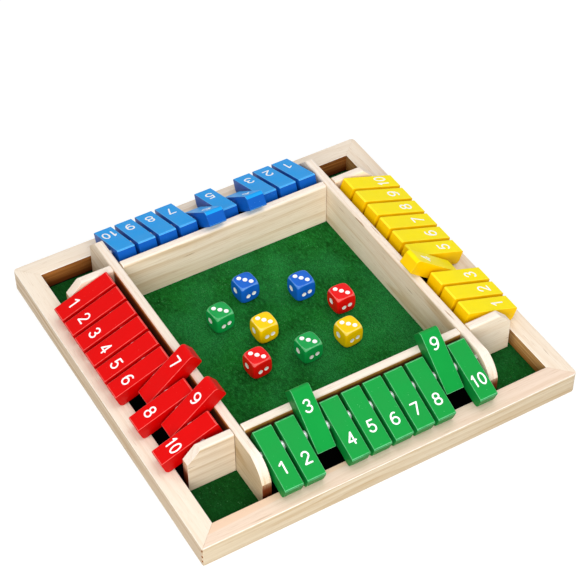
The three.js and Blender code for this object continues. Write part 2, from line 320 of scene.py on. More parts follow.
def wood(name, along, pith, top=WALL_TOP_WOOD, side=SIDE_WOOD, contrast=(0.4, 0.6),
         ring=4.2 * MM, stains_and_shades=()):
    """Pine with its grain along "x" or "y". pith is where the ring centre lies, in metres. top
    and side are (pale, late) colours, and contrast is for the tops and for the sides."""
    material, tree, place = start_material(name, Roughness=0.55, Specular_IOR_Level=0.2)
    turned = add_node(tree, "ShaderNodeMapping", Vector=place, Location=pith,
                      Rotation=(0, 0, -QUARTER if along == "y" else 0))
    normal = add_node(tree, "ShaderNodeNewGeometry").outputs["Normal"]
    upward = add_node(tree, "ShaderNodeSeparateXYZ", Vector=normal).outputs["Z"]
    # tops and sides get their tones by how far the face looks up, partly painted light and shade
    sanded_and_lit = ramp(tree, upward, 0.25, 0.85)
    pale, late = (layered(tree, side[i], (sanded_and_lit, top[i])) for i in (0, 1))
    board = use_group(tree, pine, Vector=turned, Pale=pale, Late=late, Ring_Width=ring,
                      Contrast=ramp(tree, sanded_and_lit, 0.0, 1.0, contrast[1], contrast[0])).outputs
    colour = rubbed(tree, place, board["Color"], SANDED_AND_HIGHLIT_EDGE, 0.8)
    coat(tree, stained(tree, place, colour, stains_and_shades), board["Roughness"], board["Height"],
         0.03 * MM)
    return material


def woods(name, along, pith, **finishes):
    """The woods of one board, which share its grain; each holds what wood() is told."""
    return [wood(f"{name}_{part}", along, pith, **finish) for part, finish in finishes.items()]

# %% [markdown]
# Felt is a mat of short fibres with no weave. Two sizes of noise mottle its green, a wide one
# leaves paler patches where the nap is brushed the other way, and a fine one roughens it. The
# green is painted deeper in the corner pockets and along the left wall, as shade, and a little
# sheen catches the light that skims over the nap.

# %% Felt finishes
# painted shade: deeper green in the corner pockets and along the left wall
PAINTED_SHADE_GREEN = (6, 50, 10)
POCKET_FROM, POCKET_TO = 122 * MM, 134 * MM
LEFT_SHADE_FROM, LEFT_SHADE_TO = -58 * MM, -86 * MM

felt_paint, tree, place = start_material("felt", Roughness=0.96, Specular_IOR_Level=0.05,
                                         Sheen_Weight=0.12, Sheen_Roughness=0.5,
                                         Sheen_Tint=(110, 200, 120))
mottled = ramp(tree, noise(tree, place, 55.0, 4.0, 0.6), 0.32, 0.68)
clumps = ramp(tree, noise(tree, place, (420, 210, 420), 3.0, 0.7), 0.35, 0.68)
brushed = noise(tree, place, 17.0, 3.0, 0.55)
hairs = noise(tree, place, 1300.0, 2.0, 0.7)
from_middle = add_node(tree, "ShaderNodeVectorMath", {"operation": "LENGTH"}, in0=place)
sideways = add_node(tree, "ShaderNodeSeparateXYZ", Vector=place).outputs["X"]
colour = layered(
    tree, (6, 66, 12), (mottled, (18, 106, 30)),
    (maths(tree, "MULTIPLY", clumps, 0.7), (38, 138, 58)),
    (ramp(tree, brushed, 0.4, 0.66, 0.0, 0.5), (44, 144, 74)),
    (ramp(tree, hairs, 0.46, 0.62, 0.0, 0.75), (6, 54, 14)),
    (ramp(tree, from_middle.outputs["Value"], POCKET_FROM, POCKET_TO, 0.0, 0.5), PAINTED_SHADE_GREEN),
    (ramp(tree, sideways, LEFT_SHADE_FROM, LEFT_SHADE_TO, 0.0, 0.4), PAINTED_SHADE_GREEN))
colour = use_group(tree, dust, Color=colour, Dust_Color=(96, 170, 110), Vector=place,
                   Spacing=420.0, Size=0.14, Amount=0.5)
nap = maths(tree, "ADD", clumps, maths(tree, "MULTIPLY", hairs, 1.5))
coat(tree, colour, None, nap, 0.35 * MM)
lint_paint = even_finish("felt_lint", ((34, 112, 46), (84, 158, 96)), 300.0, 1.0, Roughness=0.9,
                         Sheen_Weight=0.3)
print("felt", len(tree.nodes), "nodes")

# %% [markdown]
# The tiles are painted wood: an even satin coat with the faintest orange peel, a deeper tone on
# the narrow faces as painted shade, thin lighter lines on the edges as a painted highlight, and a
# few specks. The dice are glossy plastic, with a painted highlight on their upward rounded edges.
# The numbers are a thicker white ink that stands a hair proud of the paint. The floor of the tile
# bays is the bare base board, coloured black and nearly lost in the shade, so it only needs a
# faint grain and a dull, uneven sheen.

# %% Paint, plastic, ink, steel and the black finish
def paint(name, broad, narrow_shaded, light):
    """Paint in one tone on the broad faces and a deeper one, painted shade, on the narrow ones."""
    material, tree, place = start_material(name, Roughness=0.4, Specular_IOR_Level=0.12)
    cloudy = noise(tree, place, 70.0, 3.0)
    own_normal = add_node(tree, "ShaderNodeTexCoord").outputs["Normal"]
    height = add_node(tree, "ShaderNodeSeparateXYZ", Vector=own_normal).outputs["Z"]
    # narrow faces take the deeper tone, painted shade
    facing = ramp(tree, maths(tree, "ABSOLUTE", height), 0.66, 0.76)
    colour = layered(tree, narrow_shaded, (facing, broad),
                     (ramp(tree, cloudy, 0.3, 0.7, 0.035, 0.0), (0, 0, 0)))
    colour = use_group(tree, dust, Color=rubbed(tree, place, colour, light, 0.75),
                       Dust_Color=light, Vector=place, Spacing=420.0, Size=0.09, Amount=0.5)
    coat(tree, colour, ramp(tree, cloudy, 0.3, 0.7, 0.36, 0.46), noise(tree, place, 900.0),
         0.03 * MM)
    return material


def plastic(name, body, swirled, light):
    material, tree, place = start_material(name, Roughness=0.15, Specular_IOR_Level=0.2)
    swirl = noise(tree, place, 160.0)
    colour = rubbed(tree, place, layered(tree, body, (swirl, swirled)), light, 0.5)
    colour = use_group(tree, dust, Color=colour, Vector=place, Spacing=500.0, Size=0.07,
                       Amount=0.2)
    coat(tree, colour, ramp(tree, swirl, 0.3, 0.7, 0.13, 0.22), noise(tree, place, 700.0, 1.0),
         0.01 * MM)
    return material


# each: broad faces, narrow faces in painted shade, pale tone for edge highlight and dust
PAINTS = {name: paint(f"{name}_paint", *tones) for name, tones in {
    "green": ((8, 151, 60), (12, 128, 52), (120, 208, 150)),
    "yellow": ((255, 234, 0), (252, 204, 0), (255, 240, 70)),
    "blue": ((16, 158, 238), (12, 92, 188), (116, 192, 242)),
    "red": ((221, 1, 1), (202, 1, 1), (246, 112, 104)),
}.items()}
# each: body, swirl, and the pale tone of the painted highlight on upward edges
PLASTICS = {name: plastic(f"{name}_plastic", *tones) for name, tones in {
    "blue": ((14, 90, 196), (22, 106, 210), (120, 176, 238)),
    "green": ((12, 150, 66), (24, 168, 82), (140, 222, 168)),
    "yellow": ((255, 200, 0), (255, 214, 0), (255, 244, 160)),
    "red": ((228, 6, 8), (238, 14, 16), (255, 140, 132)),
}.items()}
WHITES = ((250, 250, 249), (255, 255, 255))
INK, SPOT_PAINT = (even_finish(name, WHITES, 500.0, 3.0, 0.02 * MM, Roughness=roughness,
                               Specular_IOR_Level=0.3)
                   for name, roughness in (("white_ink", 0.45), ("white_spot_paint", 0.35)))
steel = even_finish("rod_steel", ((232, 233, 236), (252, 252, 254)), (60, 60, 3000), 2.0,
                    0.01 * MM, (0.2, 0.36), Metallic=0.35, Roughness=0.35)
black_board = even_finish("black_board", ((2, 2, 2), (12, 10, 9)), (40, 700, 700), 3.0,
                          0.04 * MM, (0.75, 0.92), Roughness=0.85, Specular_IOR_Level=0.05)
print("materials", len(bpy.data.materials))

# %% [markdown]
# The wooden pieces are solids that other solids cut. These helpers open a mesh for editing, run
# modifiers on it, and cut or cross solids with Blender's exact boolean. What comes out is always
# a plain mesh with no modifiers left on it.

# %% Changing meshes
class Editing:
    """A mesh that is open for editing inside a with block, and is written back at its end."""

    def __init__(self, mesh):
        self.mesh, self.solid = mesh, bmesh.new()
        self.solid.from_mesh(mesh)

    def __enter__(self):
        return self.solid

    def __exit__(self, *problem):
        self.solid.to_mesh(self.mesh)
        self.solid.free()


def in_scene(data, name="temporary"):
    """A new object in the scene that shows a mesh or a lamp."""
    made = bpy.data.objects.new(name, data)
    bpy.context.scene.collection.objects.link(made)
    return made


def plain(holder):
    """The mesh of an object with its modifiers applied; the object itself is thrown away."""
    graph = bpy.context.evaluated_depsgraph_get()
    mesh = bpy.data.meshes.new_from_object(holder.evaluated_get(graph), depsgraph=graph)
    bpy.data.objects.remove(holder)
    return mesh


def modified(mesh, *changes):
    """The plain mesh that modifiers make of another; each change is (kind, its settings)."""
    holder = in_scene(mesh)
    for kind, settings in changes:
        modifier = holder.modifiers.new(kind.lower(), kind)
        for key, value in settings.items():
            setattr(modifier, key, value)
    return plain(holder)


def boolean(first, second, operation):
    """One solid cut by another, or crossed with it."""
    cutter = in_scene(second)
    mesh = modified(first, ("BOOLEAN", {"operation": operation, "solver": "EXACT",
                                        "object": cutter}))
    bpy.data.objects.remove(cutter)
    return mesh


def tidy(mesh, smallest=0.002 * MM):
    """Merges what a boolean left apart and drops faces that have no area."""
    with Editing(mesh) as solid:
        bmesh.ops.remove_doubles(solid, verts=solid.verts, dist=smallest)
        bmesh.ops.dissolve_degenerate(solid, dist=smallest, edges=solid.edges)
    return mesh

# %% [markdown]
# Most solids here are an outline that is carried along one axis. It could be drawn with curves,
# but a few lines of points keep every corner where the construction has it.

# %% Solids from outlines
TO_PLACE = {"x": lambda u, v, w: (w, u, v), "y": lambda u, v, w: (u, w, v),
            "z": lambda u, v, w: (u, v, w)}


def arc(centre, radius, start, end, steps):
    """Points on an arc, in degrees, ends included."""
    turns = [math.radians(start + (end - start) * i / steps) for i in range(steps + 1)]
    return [(centre[0] + radius * math.cos(t), centre[1] + radius * math.sin(t)) for t in turns]


def mesh_of(points, faces=()):
    mesh = bpy.data.meshes.new("mesh")
    mesh.from_pydata(points, [], faces)
    return mesh


def prism(outline, low, high, axis="z"):
    """A solid with the outline's (u, v) points as its section, from low to high on an axis."""
    count = len(outline)
    points = [TO_PLACE[axis](u, v, w) for w in (low, high) for u, v in outline]
    faces = [tuple(range(count)), tuple(range(count, 2 * count))]
    for i in range(count):
        j = (i + 1) % count
        faces.append((i, j, count + j, count + i))
    mesh = mesh_of(points, faces)
    with Editing(mesh) as solid:
        bmesh.ops.recalc_face_normals(solid, faces=solid.faces)
    return mesh


def rod_along(axis, centre, radius, low, high, sides=32):
    """A round solid along X or Y, for cutting a seat or a bore."""
    return prism(arc(centre, radius, 0, 360, sides)[:-1], low, high, axis)

# %% [markdown]
# Sharp edges are eased with a Bevel, and the faces that it makes are marked, so that the
# finishes can make them paler: rubbed wear, and a painted highlight. A finished piece gets its
# materials and rides on a body.

# %% Edges, shading and finished pieces
FACING = 0.9
CLOSE = 0.1 * MM


def mark_rubbed(mesh, marks):
    """Writes into the edge attribute which faces are paler: rubbed wear and painted highlight."""
    edge = mesh.attributes.get("edge") or mesh.attributes.new("edge", "FLOAT", "FACE")
    edge.data.foreach_set("value", [float(mark) for mark in marks])


def mark_faces(mesh, test, index):
    """Gives the faces that pass the test another of the piece's materials."""
    for face in mesh.polygons:
        if test(face.normal, face.center):
            face.material_index = index


def eased(mesh, width, segments=2, angle=35.0):
    """Bevels the sharp edges, marks bevels for wear and painted highlight, and shades smoothly."""
    for empty_slot in [None] * 2:  # one for the faces and one for the bevels
        mesh.materials.append(empty_slot)
    mesh.shade_smooth()
    bevel = {"width": width, "segments": segments, "material": 1, "limit_method": "ANGLE",
             "angle_limit": math.radians(angle), "miter_outer": "MITER_ARC"}
    made = modified(mesh, ("BEVEL", bevel), ("WEIGHTED_NORMAL", {"keep_sharp": True}))
    mark_rubbed(made, [face.material_index == 1 for face in made.polygons])
    mark_faces(made, lambda normal, centre: True, 0)
    made.materials.clear()
    return made


def shade(mesh, angle=32.0):
    mesh.shade_smooth()
    mesh.set_sharp_from_angle(angle=math.radians(angle))
    return mesh


def finished(name, mesh, materials, body, stands_for=()):
    """Puts a finished mesh in the scene as a piece that rides on a body."""
    mesh.name = name
    marks = [face.material_index for face in mesh.polygons]
    mesh.materials.clear()
    for material in materials:
        mesh.materials.append(material)
    mesh.polygons.foreach_set("material_index", marks)
    piece = in_scene(mesh, name)
    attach(piece, body)
    if stands_for:
        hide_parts(*stands_for)
    return piece

# %% [markdown]
# Every place comes from the construction model's boxes and joints. The tray is the square
# between the walls, and the pockets and bays lie between the walls and the rails.

# %% Sizes of the construction
FRAME_HALF, _, RAIL_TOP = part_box("outer_frame")[1]
FIT_GAP = 0.3 * MM
base_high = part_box("base_board")[1]
RAIL_INNER, BASE_TOP = base_high.x + FIT_GAP, base_high.z
_, FELT_BACK, FELT_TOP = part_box("felt_sheet")[1]
wall_inner, WALL_END, WALL_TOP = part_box("left_partition")[1]
TRAY_HALF = -wall_inner
cross_low, cross_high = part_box("front_cross_wall")
WALL_THICK = cross_high.y - cross_low.y
WALL_OUTER = TRAY_HALF + WALL_THICK
rod_low, rod_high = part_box("rod_green")
SPACER_RADIUS = (rod_high.z - rod_low.z) / 2
ROD_RADIUS = 2.0 * MM
ROD_HEIGHT = (rod_high.z + rod_low.z) / 2
ROD_OUT = -(rod_high.y + rod_low.y) / 2
ROD_HALF = rod_high.x
print("tray half", round(TRAY_HALF / MM, 2), "wall", round(WALL_THICK / MM, 2), "rod out",
      round(ROD_OUT / MM, 2))

# %% [markdown]
# The frame is four rails, mitred at the corners and rounded a little at the outer upright
# edges. One section is swept round the square as rings of points, and two cuts along the
# diagonals part it into rails, so the mitres fit by themselves. A hair of a gap is left in each.

# %% Frame ring
RAIL_EASE = 0.7 * MM
CORNER_RADII = [3.5 * MM, 3.0 * MM, 1.2 * MM, 4.0 * MM]
CORNER_STEPS = 8
SHARPEST_CORNER = 0.01 * MM


def square_ring(inwards, height):
    """A ring of points at this distance inwards, from the back right corner round to the left."""
    half = FRAME_HALF - inwards
    points = []
    for quarter, corner_radius in enumerate(CORNER_RADII):
        radius = max(corner_radius - inwards, SHARPEST_CORNER)
        side_x = 1 if quarter in (0, 3) else -1
        side_y = 1 if quarter in (0, 1) else -1
        centre = (side_x * (half - radius), side_y * (half - radius))
        points += arc(centre, radius, 90 * quarter, 90 * quarter + 90, CORNER_STEPS)
    return [(x, y, height) for x, y in points]


def rail_section():
    """(distance inwards from the outer face, height) round the rail, from its outer foot."""
    width = FRAME_HALF - RAIL_INNER
    top = (0, RAIL_TOP - RAIL_EASE)
    section = [(RAIL_EASE / 2, 0.0), (0.0, RAIL_EASE / 2)]
    section += [(RAIL_EASE - u, v) for u, v in arc(top, RAIL_EASE, 0, 90, 4)]
    section += [(width - RAIL_EASE + u, v) for u, v in arc(top, RAIL_EASE, 90, 0, 4)]
    return section + [(width, 0.0)]


def frame_ring():
    rings = [square_ring(inwards, height) for inwards, height in rail_section()]
    count = len(rings[0])
    faces = []
    for r in range(len(rings)):
        this, following = r * count, (r + 1) % len(rings) * count
        for i in range(count):
            j = (i + 1) % count
            faces.append((this + i, this + j, following + j, following + i))
    return mesh_of([point for ring in rings for point in ring], faces)

# %% [markdown]
# Three small hollows show on the front left corner's outer face, where the corner joint is
# filled. They are cut as boxes, and their inside is painted brown, as shade in the hollows.

# %% Mitres and joint hollows
MITRE_GAP = 0.05 * MM
CUT_TOLERANCE = 1e-7
HOLLOW_DEPTH = 0.9 * MM
HOLLOW_HALF_HEIGHT = 0.9 * MM
HOLLOW_FROM, HOLLOW_TO = -FRAME_HALF + 0.3 * MM, -FRAME_HALF + 1.8 * MM
HOLLOW_HEIGHT_SHARES = (0.85, 0.51, 0.25)


def cut_by_plane(solid, **plane):
    everything = solid.verts[:] + solid.edges[:] + solid.faces[:]
    return bmesh.ops.bisect_plane(solid, geom=everything, dist=CUT_TOLERANCE, **plane)["geom_cut"]


def mitred(ring, side):
    """The part of the ring that lies between two diagonals, on the side that faces (x, y)."""
    mesh = ring.copy()
    with Editing(mesh) as solid:
        bmesh.ops.recalc_face_normals(solid, faces=solid.faces)
        for turn in (45, -45):
            normal = Matrix.Rotation(math.radians(turn), 3, "Z") @ Vector((*side, 0))
            cut = cut_by_plane(solid, plane_co=normal * MITRE_GAP, plane_no=normal,
                               clear_inner=True)
            rim = [part for part in cut if isinstance(part, bmesh.types.BMEdge)]
            bmesh.ops.holes_fill(solid, edges=rim, sides=0)
        bmesh.ops.remove_doubles(solid, verts=solid.verts, dist=0.02 * MM)
        bmesh.ops.recalc_face_normals(solid, faces=solid.faces)
    return mesh


def joint_hollows(mesh):
    for share in HOLLOW_HEIGHT_SHARES:
        box = [(-FRAME_HALF + x, y) for x, y in (
            (-HOLLOW_DEPTH, HOLLOW_FROM), (HOLLOW_DEPTH, HOLLOW_FROM),
            (HOLLOW_DEPTH, HOLLOW_TO), (-HOLLOW_DEPTH, HOLLOW_TO))]
        height = RAIL_TOP * share
        cutter = prism(box, height - HOLLOW_HALF_HEIGHT, height + HOLLOW_HALF_HEIGHT)
        mesh = boolean(mesh, cutter, "DIFFERENCE")
    return tidy(mesh)


def in_hollow(normal, centre):
    """True for the faces inside a hollow: its floor and the walls round it."""
    deep = centre.x + FRAME_HALF
    by_corner = centre.y < HOLLOW_TO + 0.2 * MM and 0.1 < centre.z / RAIL_TOP < 0.95
    wall = abs(normal.z) > 0.99 or abs(normal.y) > 0.995
    floor = normal.x < -0.99 and deep > HOLLOW_DEPTH / 2
    return by_corner and deep < HOLLOW_DEPTH + 0.01 * MM and (wall or floor)


print(len(HOLLOW_HEIGHT_SHARES), "hollows,", round((HOLLOW_TO - HOLLOW_FROM) / MM, 2), "mm long")

# %% [markdown]
# The rails are sanded on top and sawn on their outer sides. Their insides carry a painted shade
# in brown, darker towards the floor, and on the right one a lighter tan. A wedge of pinkish
# heartwood runs along the inner edge of the front rail, from the left corner to past the middle.

# %% Rails
# painted shade in brown and tan for the rails' insides, deepest at the foot
PAINTED_SHADE_BROWN = ((186, 118, 56), (124, 68, 24))
PAINTED_SHADE_TAN = ((204, 160, 102), (152, 102, 50))
DOWN = (0, 0, -1)
HEARTWOOD = ((232, 200, 172), (-0.037, 1, 0), -136.5 * MM, -136 * MM)
RAIL_PAINTED_SHADE_FOOT = ((110, 54, 16), DOWN, -RAIL_TOP * 0.65, -FELT_TOP)
RAIL_PAINTED_SHADE_TAN_FOOT = ((172, 116, 54), DOWN, -RAIL_TOP * 0.6, -FELT_TOP)
SHADED_INSIDE = {"top": PAINTED_SHADE_BROWN, "side": PAINTED_SHADE_BROWN, "contrast": (0.9, 0.9), "ring": 2.6 * MM,
          "stains_and_shades": [RAIL_PAINTED_SHADE_FOOT]}
TAN_SHADED_INSIDE = {**SHADED_INSIDE, "top": PAINTED_SHADE_TAN, "side": PAINTED_SHADE_TAN, "stains_and_shades": [RAIL_PAINTED_SHADE_TAN_FOOT]}
# the front rail's outer side has deeper tones as painted shade; the heartwood is a real stain
FRONT_OUTSIDE = {"top": ((235, 213, 194), (213, 182, 152)),
                 "side": ((230, 214, 186), (204, 176, 134)), "stains_and_shades": [HEARTWOOD]}
LEFT_OUTSIDE = {"side": ((240, 220, 192), (210, 177, 135)), "contrast": (0.25, 0.7)}
# the side that a rail lies on, its grain, its pith, and its finishes outside and inside
RAILS = {
    "front": ((0, -1), "x", (0.31, 0.185, 0.021), FRONT_OUTSIDE, SHADED_INSIDE),
    "right": ((1, 0), "y", (0.87, 0.17, 0.034), {"contrast": (0.4, 0.55)}, TAN_SHADED_INSIDE),
    "back": ((0, 1), "x", (0.53, -0.115, 0.03), {"contrast": (0.35, 0.55)}, SHADED_INSIDE),
    "left": ((-1, 0), "y", (0.12, -0.178, 0.025), LEFT_OUTSIDE, SHADED_INSIDE),
}
STEEPEST_EDGE, FLATTEST_EDGE = 0.2, 0.97
ring_mesh = frame_ring()
# painted shade in brown inside the joint hollows
hollow_shade_wood = wood("joint_hollow_wood", "y", (0.1, 0.02, 0.03), PAINTED_SHADE_BROWN, PAINTED_SHADE_BROWN)
for place_name, (side, along, pith, outside, inside) in RAILS.items():
    mesh = mitred(ring_mesh, side)
    if place_name == "left":
        mesh = joint_hollows(mesh)
        mark_faces(mesh, in_hollow, 2)
    shade(mesh)
    # upward eases are paler: sanding wear and a painted highlight
    mark_rubbed(mesh, [STEEPEST_EDGE < face.normal.z < FLATTEST_EDGE for face in mesh.polygons])
    # the faces that look into the tray and the pockets take the inner wood, in painted shade
    inwards = -Vector((*side, 0))
    mark_faces(mesh, lambda normal, centre: normal.dot(inwards) > FACING
               and abs(centre.dot(inwards) + RAIL_INNER) < CLOSE, 1)
    materials = woods(f"rail_{place_name}", along, pith, wood={"top": TOP_WOOD, **outside},
                      inner=inside)
    finished(f"rail_{place_name}", mesh, [*materials, hollow_shade_wood], BOARD,
             ["outer_frame"])
    print("rail", place_name, len(mesh.polygons), "faces")

# %% [markdown]
# All walls are lengths of one moulding with rounded top edges, and their ends are sawn after
# that. So a wall is the crossing of two simple solids, its side view and its section, and the
# cut ends keep crisp rims. The blind seats for the rod ends are drilled last. The sides in the
# bays carry a painted shade below their top edge, ochre and then brown, and the end grain a
# painted shade in brown near its foot.

# %% Helpers for walls
EDGE_RADIUS = 2.0 * MM
CUT_CORNER = 10.6 * MM
SEAT_RADIUS = ROD_RADIUS + 0.25 * MM
SEAT_DEPTH = 3.6 * MM
REACH = 1.0 * MM
FACET_ANGLE = 12.0
# painted shade on the sides in the bays: ochre under the rounded edge, then brown
BAY_PAINTED_SHADE_OCHRE = ((196, 134, 62), DOWN, 0.5 * MM - WALL_TOP, 1.3 * MM - WALL_TOP)
BAY_PAINTED_SHADE = ((112, 62, 30), DOWN, 2.4 * MM - WALL_TOP, 5.0 * MM - WALL_TOP)
# painted shade in brown at the foot of the end grain
END_PAINTED_SHADE_FOOT = ((110, 48, 18), DOWN, -30 * MM, -20 * MM)
END_WOOD = ((232, 206, 172), (190, 146, 102))
BAY_SIDE_PAINTED_SHADE = {"stains_and_shades": [BAY_PAINTED_SHADE_OCHRE, BAY_PAINTED_SHADE]}
END_GRAIN_AND_SHADE = {"top": END_WOOD, "side": END_WOOD, "contrast": (0.6, 0.8), "ring": 2.4 * MM,
             "stains_and_shades": [END_PAINTED_SHADE_FOOT]}


def section(middle):
    low, high = middle - WALL_THICK / 2, middle + WALL_THICK / 2
    round_from = WALL_TOP - EDGE_RADIUS
    return ([(low, FELT_TOP), (high, FELT_TOP)]
            + arc((high - EDGE_RADIUS, round_from), EDGE_RADIUS, 0, 90, 8)
            + arc((low + EDGE_RADIUS, round_from), EDGE_RADIUS, 90, 180, 8))


def crossed(view, middle, across, along):
    """A wall's side view crossed with its section."""
    half, long = WALL_THICK / 2, WALL_END + REACH
    return tidy(boolean(prism(view, middle - half, middle + half, across),
                        prism(section(middle), -long, long, along), "INTERSECT"))


def seated(mesh, axis, side, places):
    """Drills a blind seat for a rod end at each of the places on a wall's tray side."""
    low, high = sorted((side * (TRAY_HALF - REACH), side * (TRAY_HALF + SEAT_DEPTH)))
    for place in places:
        drill = rod_along(axis, (place, ROD_HEIGHT), SEAT_RADIUS, low, high, 24)
        mesh = boolean(mesh, drill, "DIFFERENCE")
    return mesh


def mark_ends(mesh, i):
    """Gives the faces at the outer ends along axis i the end grain."""
    mark_faces(mesh, lambda normal, centre: abs(normal[i]) > FACING
               and abs(abs(centre[i]) - WALL_END) < CLOSE, 1)


print("rod seats", round(2 * SEAT_RADIUS / MM, 2), "mm wide,", round(SEAT_DEPTH / MM, 2), "deep")

# %% [markdown]
# The long walls run from front to back, with a rounded shoulder at the front end and a cut
# corner at the back. Their faces are scored at the tray's corners, because the short stretch in
# a front corner pocket carries a painted shade, a little browner than the rest.

# %% Long walls
SHOULDER_LENGTH = 22 * MM
SHOULDER_DROP = 16 * MM
WALL_EASE = 0.3 * MM
PITHS = {"left": (0.4, 0.118, 0.012), "right": (0.71, -0.14, -0.06)}
WALL_FACE = {"contrast": (0.35, 0.6)}
# painted shade on the long walls' faces in the front corner pockets
POCKET_SIDE_PAINTED_SHADE = {**WALL_FACE, "side": ((220, 200, 166), (188, 158, 114))}


def long_side_view():
    radius = (SHOULDER_LENGTH ** 2 + SHOULDER_DROP ** 2) / (2 * SHOULDER_DROP)
    start = math.degrees(math.atan2(radius - SHOULDER_DROP, -SHOULDER_LENGTH))
    shoulder = arc((SHOULDER_LENGTH - WALL_END, WALL_TOP - radius), radius, start, 90, 24)
    return [(-WALL_END, FELT_TOP), *shoulder, (WALL_END - CUT_CORNER, WALL_TOP),
            (WALL_END, WALL_TOP - CUT_CORNER), (WALL_END, FELT_TOP)]


def scored(mesh, places):
    """Cuts the faces along planes across Y without parting the solid."""
    across = Vector((0, 1, 0))
    with Editing(mesh) as solid:
        for place in places:
            cut_by_plane(solid, plane_co=across * place, plane_no=across)
    return mesh


for place_name, pith in PITHS.items():
    side = -1 if place_name == "left" else 1
    mesh = crossed(long_side_view(), side * (TRAY_HALF + WALL_THICK / 2), "x", "y")
    mesh = eased(scored(mesh, (-TRAY_HALF, TRAY_HALF)), WALL_EASE, angle=FACET_ANGLE)
    mesh = seated(mesh, "x", side, (-ROD_OUT, ROD_OUT))
    mark_ends(mesh, 1)
    # the long wall's sides in the side bays take the painted shade
    mark_faces(mesh, lambda normal, centre: normal.x * side > FACING
               and abs(centre.y) < TRAY_HALF, 2)
    # the face in a front corner pocket takes the painted shade
    mark_faces(mesh, lambda normal, centre: normal.x * side > FACING
               and centre.y < -TRAY_HALF, 3)
    materials = woods(f"long_wall_{place_name}", "y", pith, wood=WALL_FACE, end=END_GRAIN_AND_SHADE,
                      bay_side=BAY_SIDE_PAINTED_SHADE, pocket_side=POCKET_SIDE_PAINTED_SHADE)
    finished(f"long_wall_{place_name}", mesh, materials, BOARD,
             [f"{place_name}_partition"])
    print("long wall", place_name, len(mesh.polygons), "faces")

# %% [markdown]
# The four dividers stand on the outer faces of the long walls, one on each side of each side
# bay, and end in a cut corner near the rail. The joint at the long wall is an open dark line in
# the photograph, so the divider stops a little short of the wall there. Of the front two, the
# left one's sides are painted darker as shade, and the right one's paler as painted light.

# %% Dividers
JOINT_GAP = 0.5 * MM
DIVIDER_EASE = 0.35 * MM
# the front left divider's sides in painted shade, the front right one's in painted light
DIVIDER_SIDES_LIT_AND_SHADED = {"divider_front_left": ((238, 221, 197), (206, 177, 138)),
                 "divider_front_right": ((255, 243, 222), (230, 202, 164))}


def divider(side, end):
    near, far = WALL_OUTER + JOINT_GAP, WALL_END
    outline = [(side * out, height) for out, height in (
        (near, FELT_TOP), (far, FELT_TOP), (far, WALL_TOP - CUT_CORNER),
        (far - CUT_CORNER, WALL_TOP), (near, WALL_TOP))]
    mesh = crossed(outline, end * (TRAY_HALF + WALL_THICK / 2), "y", "x")
    mesh = seated(eased(mesh, DIVIDER_EASE, angle=FACET_ANGLE), "y", end, [side * ROD_OUT])
    mark_ends(mesh, 0)
    return mesh


for side, side_name in ((-1, "left"), (1, "right")):
    for end, end_name in ((-1, "front"), (1, "back")):
        name = f"divider_{end_name}_{side_name}"
        pith = (0.2 + 0.13 * side, 0.06 * end - 0.02 * side, 0.05 + 0.03 * end * side)
        face = {"side": DIVIDER_SIDES_LIT_AND_SHADED.get(name, SIDE_WOOD), "contrast": (0.3, 0.5),
                "ring": 5.6 * MM}
        mesh = divider(side, end)
        finished(name, mesh, woods(name, "x", pith, wood=face, end=END_GRAIN_AND_SHADE), BOARD,
                 [f"{side_name}_partition"])
        print(name, len(mesh.polygons), "faces")

# %% [markdown]
# The cross walls close the tray at the front and the back. They are plain lengths of the same
# moulding with rounded top edges, let in between the long walls with a dark joint at each end.

# %% Cross walls
CROSS_JOINT = 0.6 * MM
CROSS_EASE = 0.6 * MM
CROSS_FACE = {"contrast": (0.3, 0.65), "ring": 6.0 * MM}
for end, end_name in ((-1, "front"), (1, "back")):
    reach = TRAY_HALF - CROSS_JOINT
    solid = prism(section(end * (TRAY_HALF + WALL_THICK / 2)), -reach, reach, "x")
    mesh = eased(solid, CROSS_EASE, 3)
    # the cross wall's outer face, in its bay, takes the painted shade
    mark_faces(mesh, lambda normal, centre: normal.y * end > FACING, 1)
    materials = woods(f"cross_wall_{end_name}", "x", (0.64 * end, 0.1 * end, 0.045),
                      wood=CROSS_FACE, bay_side=BAY_SIDE_PAINTED_SHADE)
    finished(f"cross_wall_{end_name}", mesh, materials, BOARD,
             [f"{end_name}_cross_wall"])
    print("cross wall", end_name, len(mesh.polygons), "faces")

# %% [markdown]
# The base board only shows as the black floor of the bays and as the underside. Its shape in the
# construction model is already right, so it stays and gets the black finish.

# %% Base board
base_board = frame["nodes"]["base_board"]
base_board.data.materials.clear()
base_board.data.materials.append(black_board)
print("base board", len(base_board.data.polygons), "faces")

# %% [markdown]
# The felt is one cut sheet with a notch at each bay. Its outline is filled as a fine grid, so
# that the cloth can lie with a faint unevenness, thicken at the middle of its areas and round
# off at its cut edges, which a flat plate could not.

# %% Felt sheet
FELT_STEP = 2.4 * MM
FELT_LIFT = 0.1 * MM
FELT_EDGE = RAIL_INNER - 0.4 * MM
EDGE_SINK = 0.25 * MM
UNDERSIDE_GAP = 0.05 * MM


def axis_steps(low, high):
    """Grid lines from low to high, with one on each face of the walls."""
    lines = [low, -WALL_OUTER, -TRAY_HALF, TRAY_HALF, WALL_OUTER, high]
    steps = [low]
    for a, b in zip(lines, lines[1:]):
        count = max(1, round((b - a) / FELT_STEP))
        steps += [a + (b - a) * i / count for i in range(1, count + 1)]
    return steps


def has_cloth(x, y):
    """True everywhere but in the four notches."""
    near, far = sorted((abs(x), abs(y)))
    return not (near < TRAY_HALF and far > WALL_OUTER)


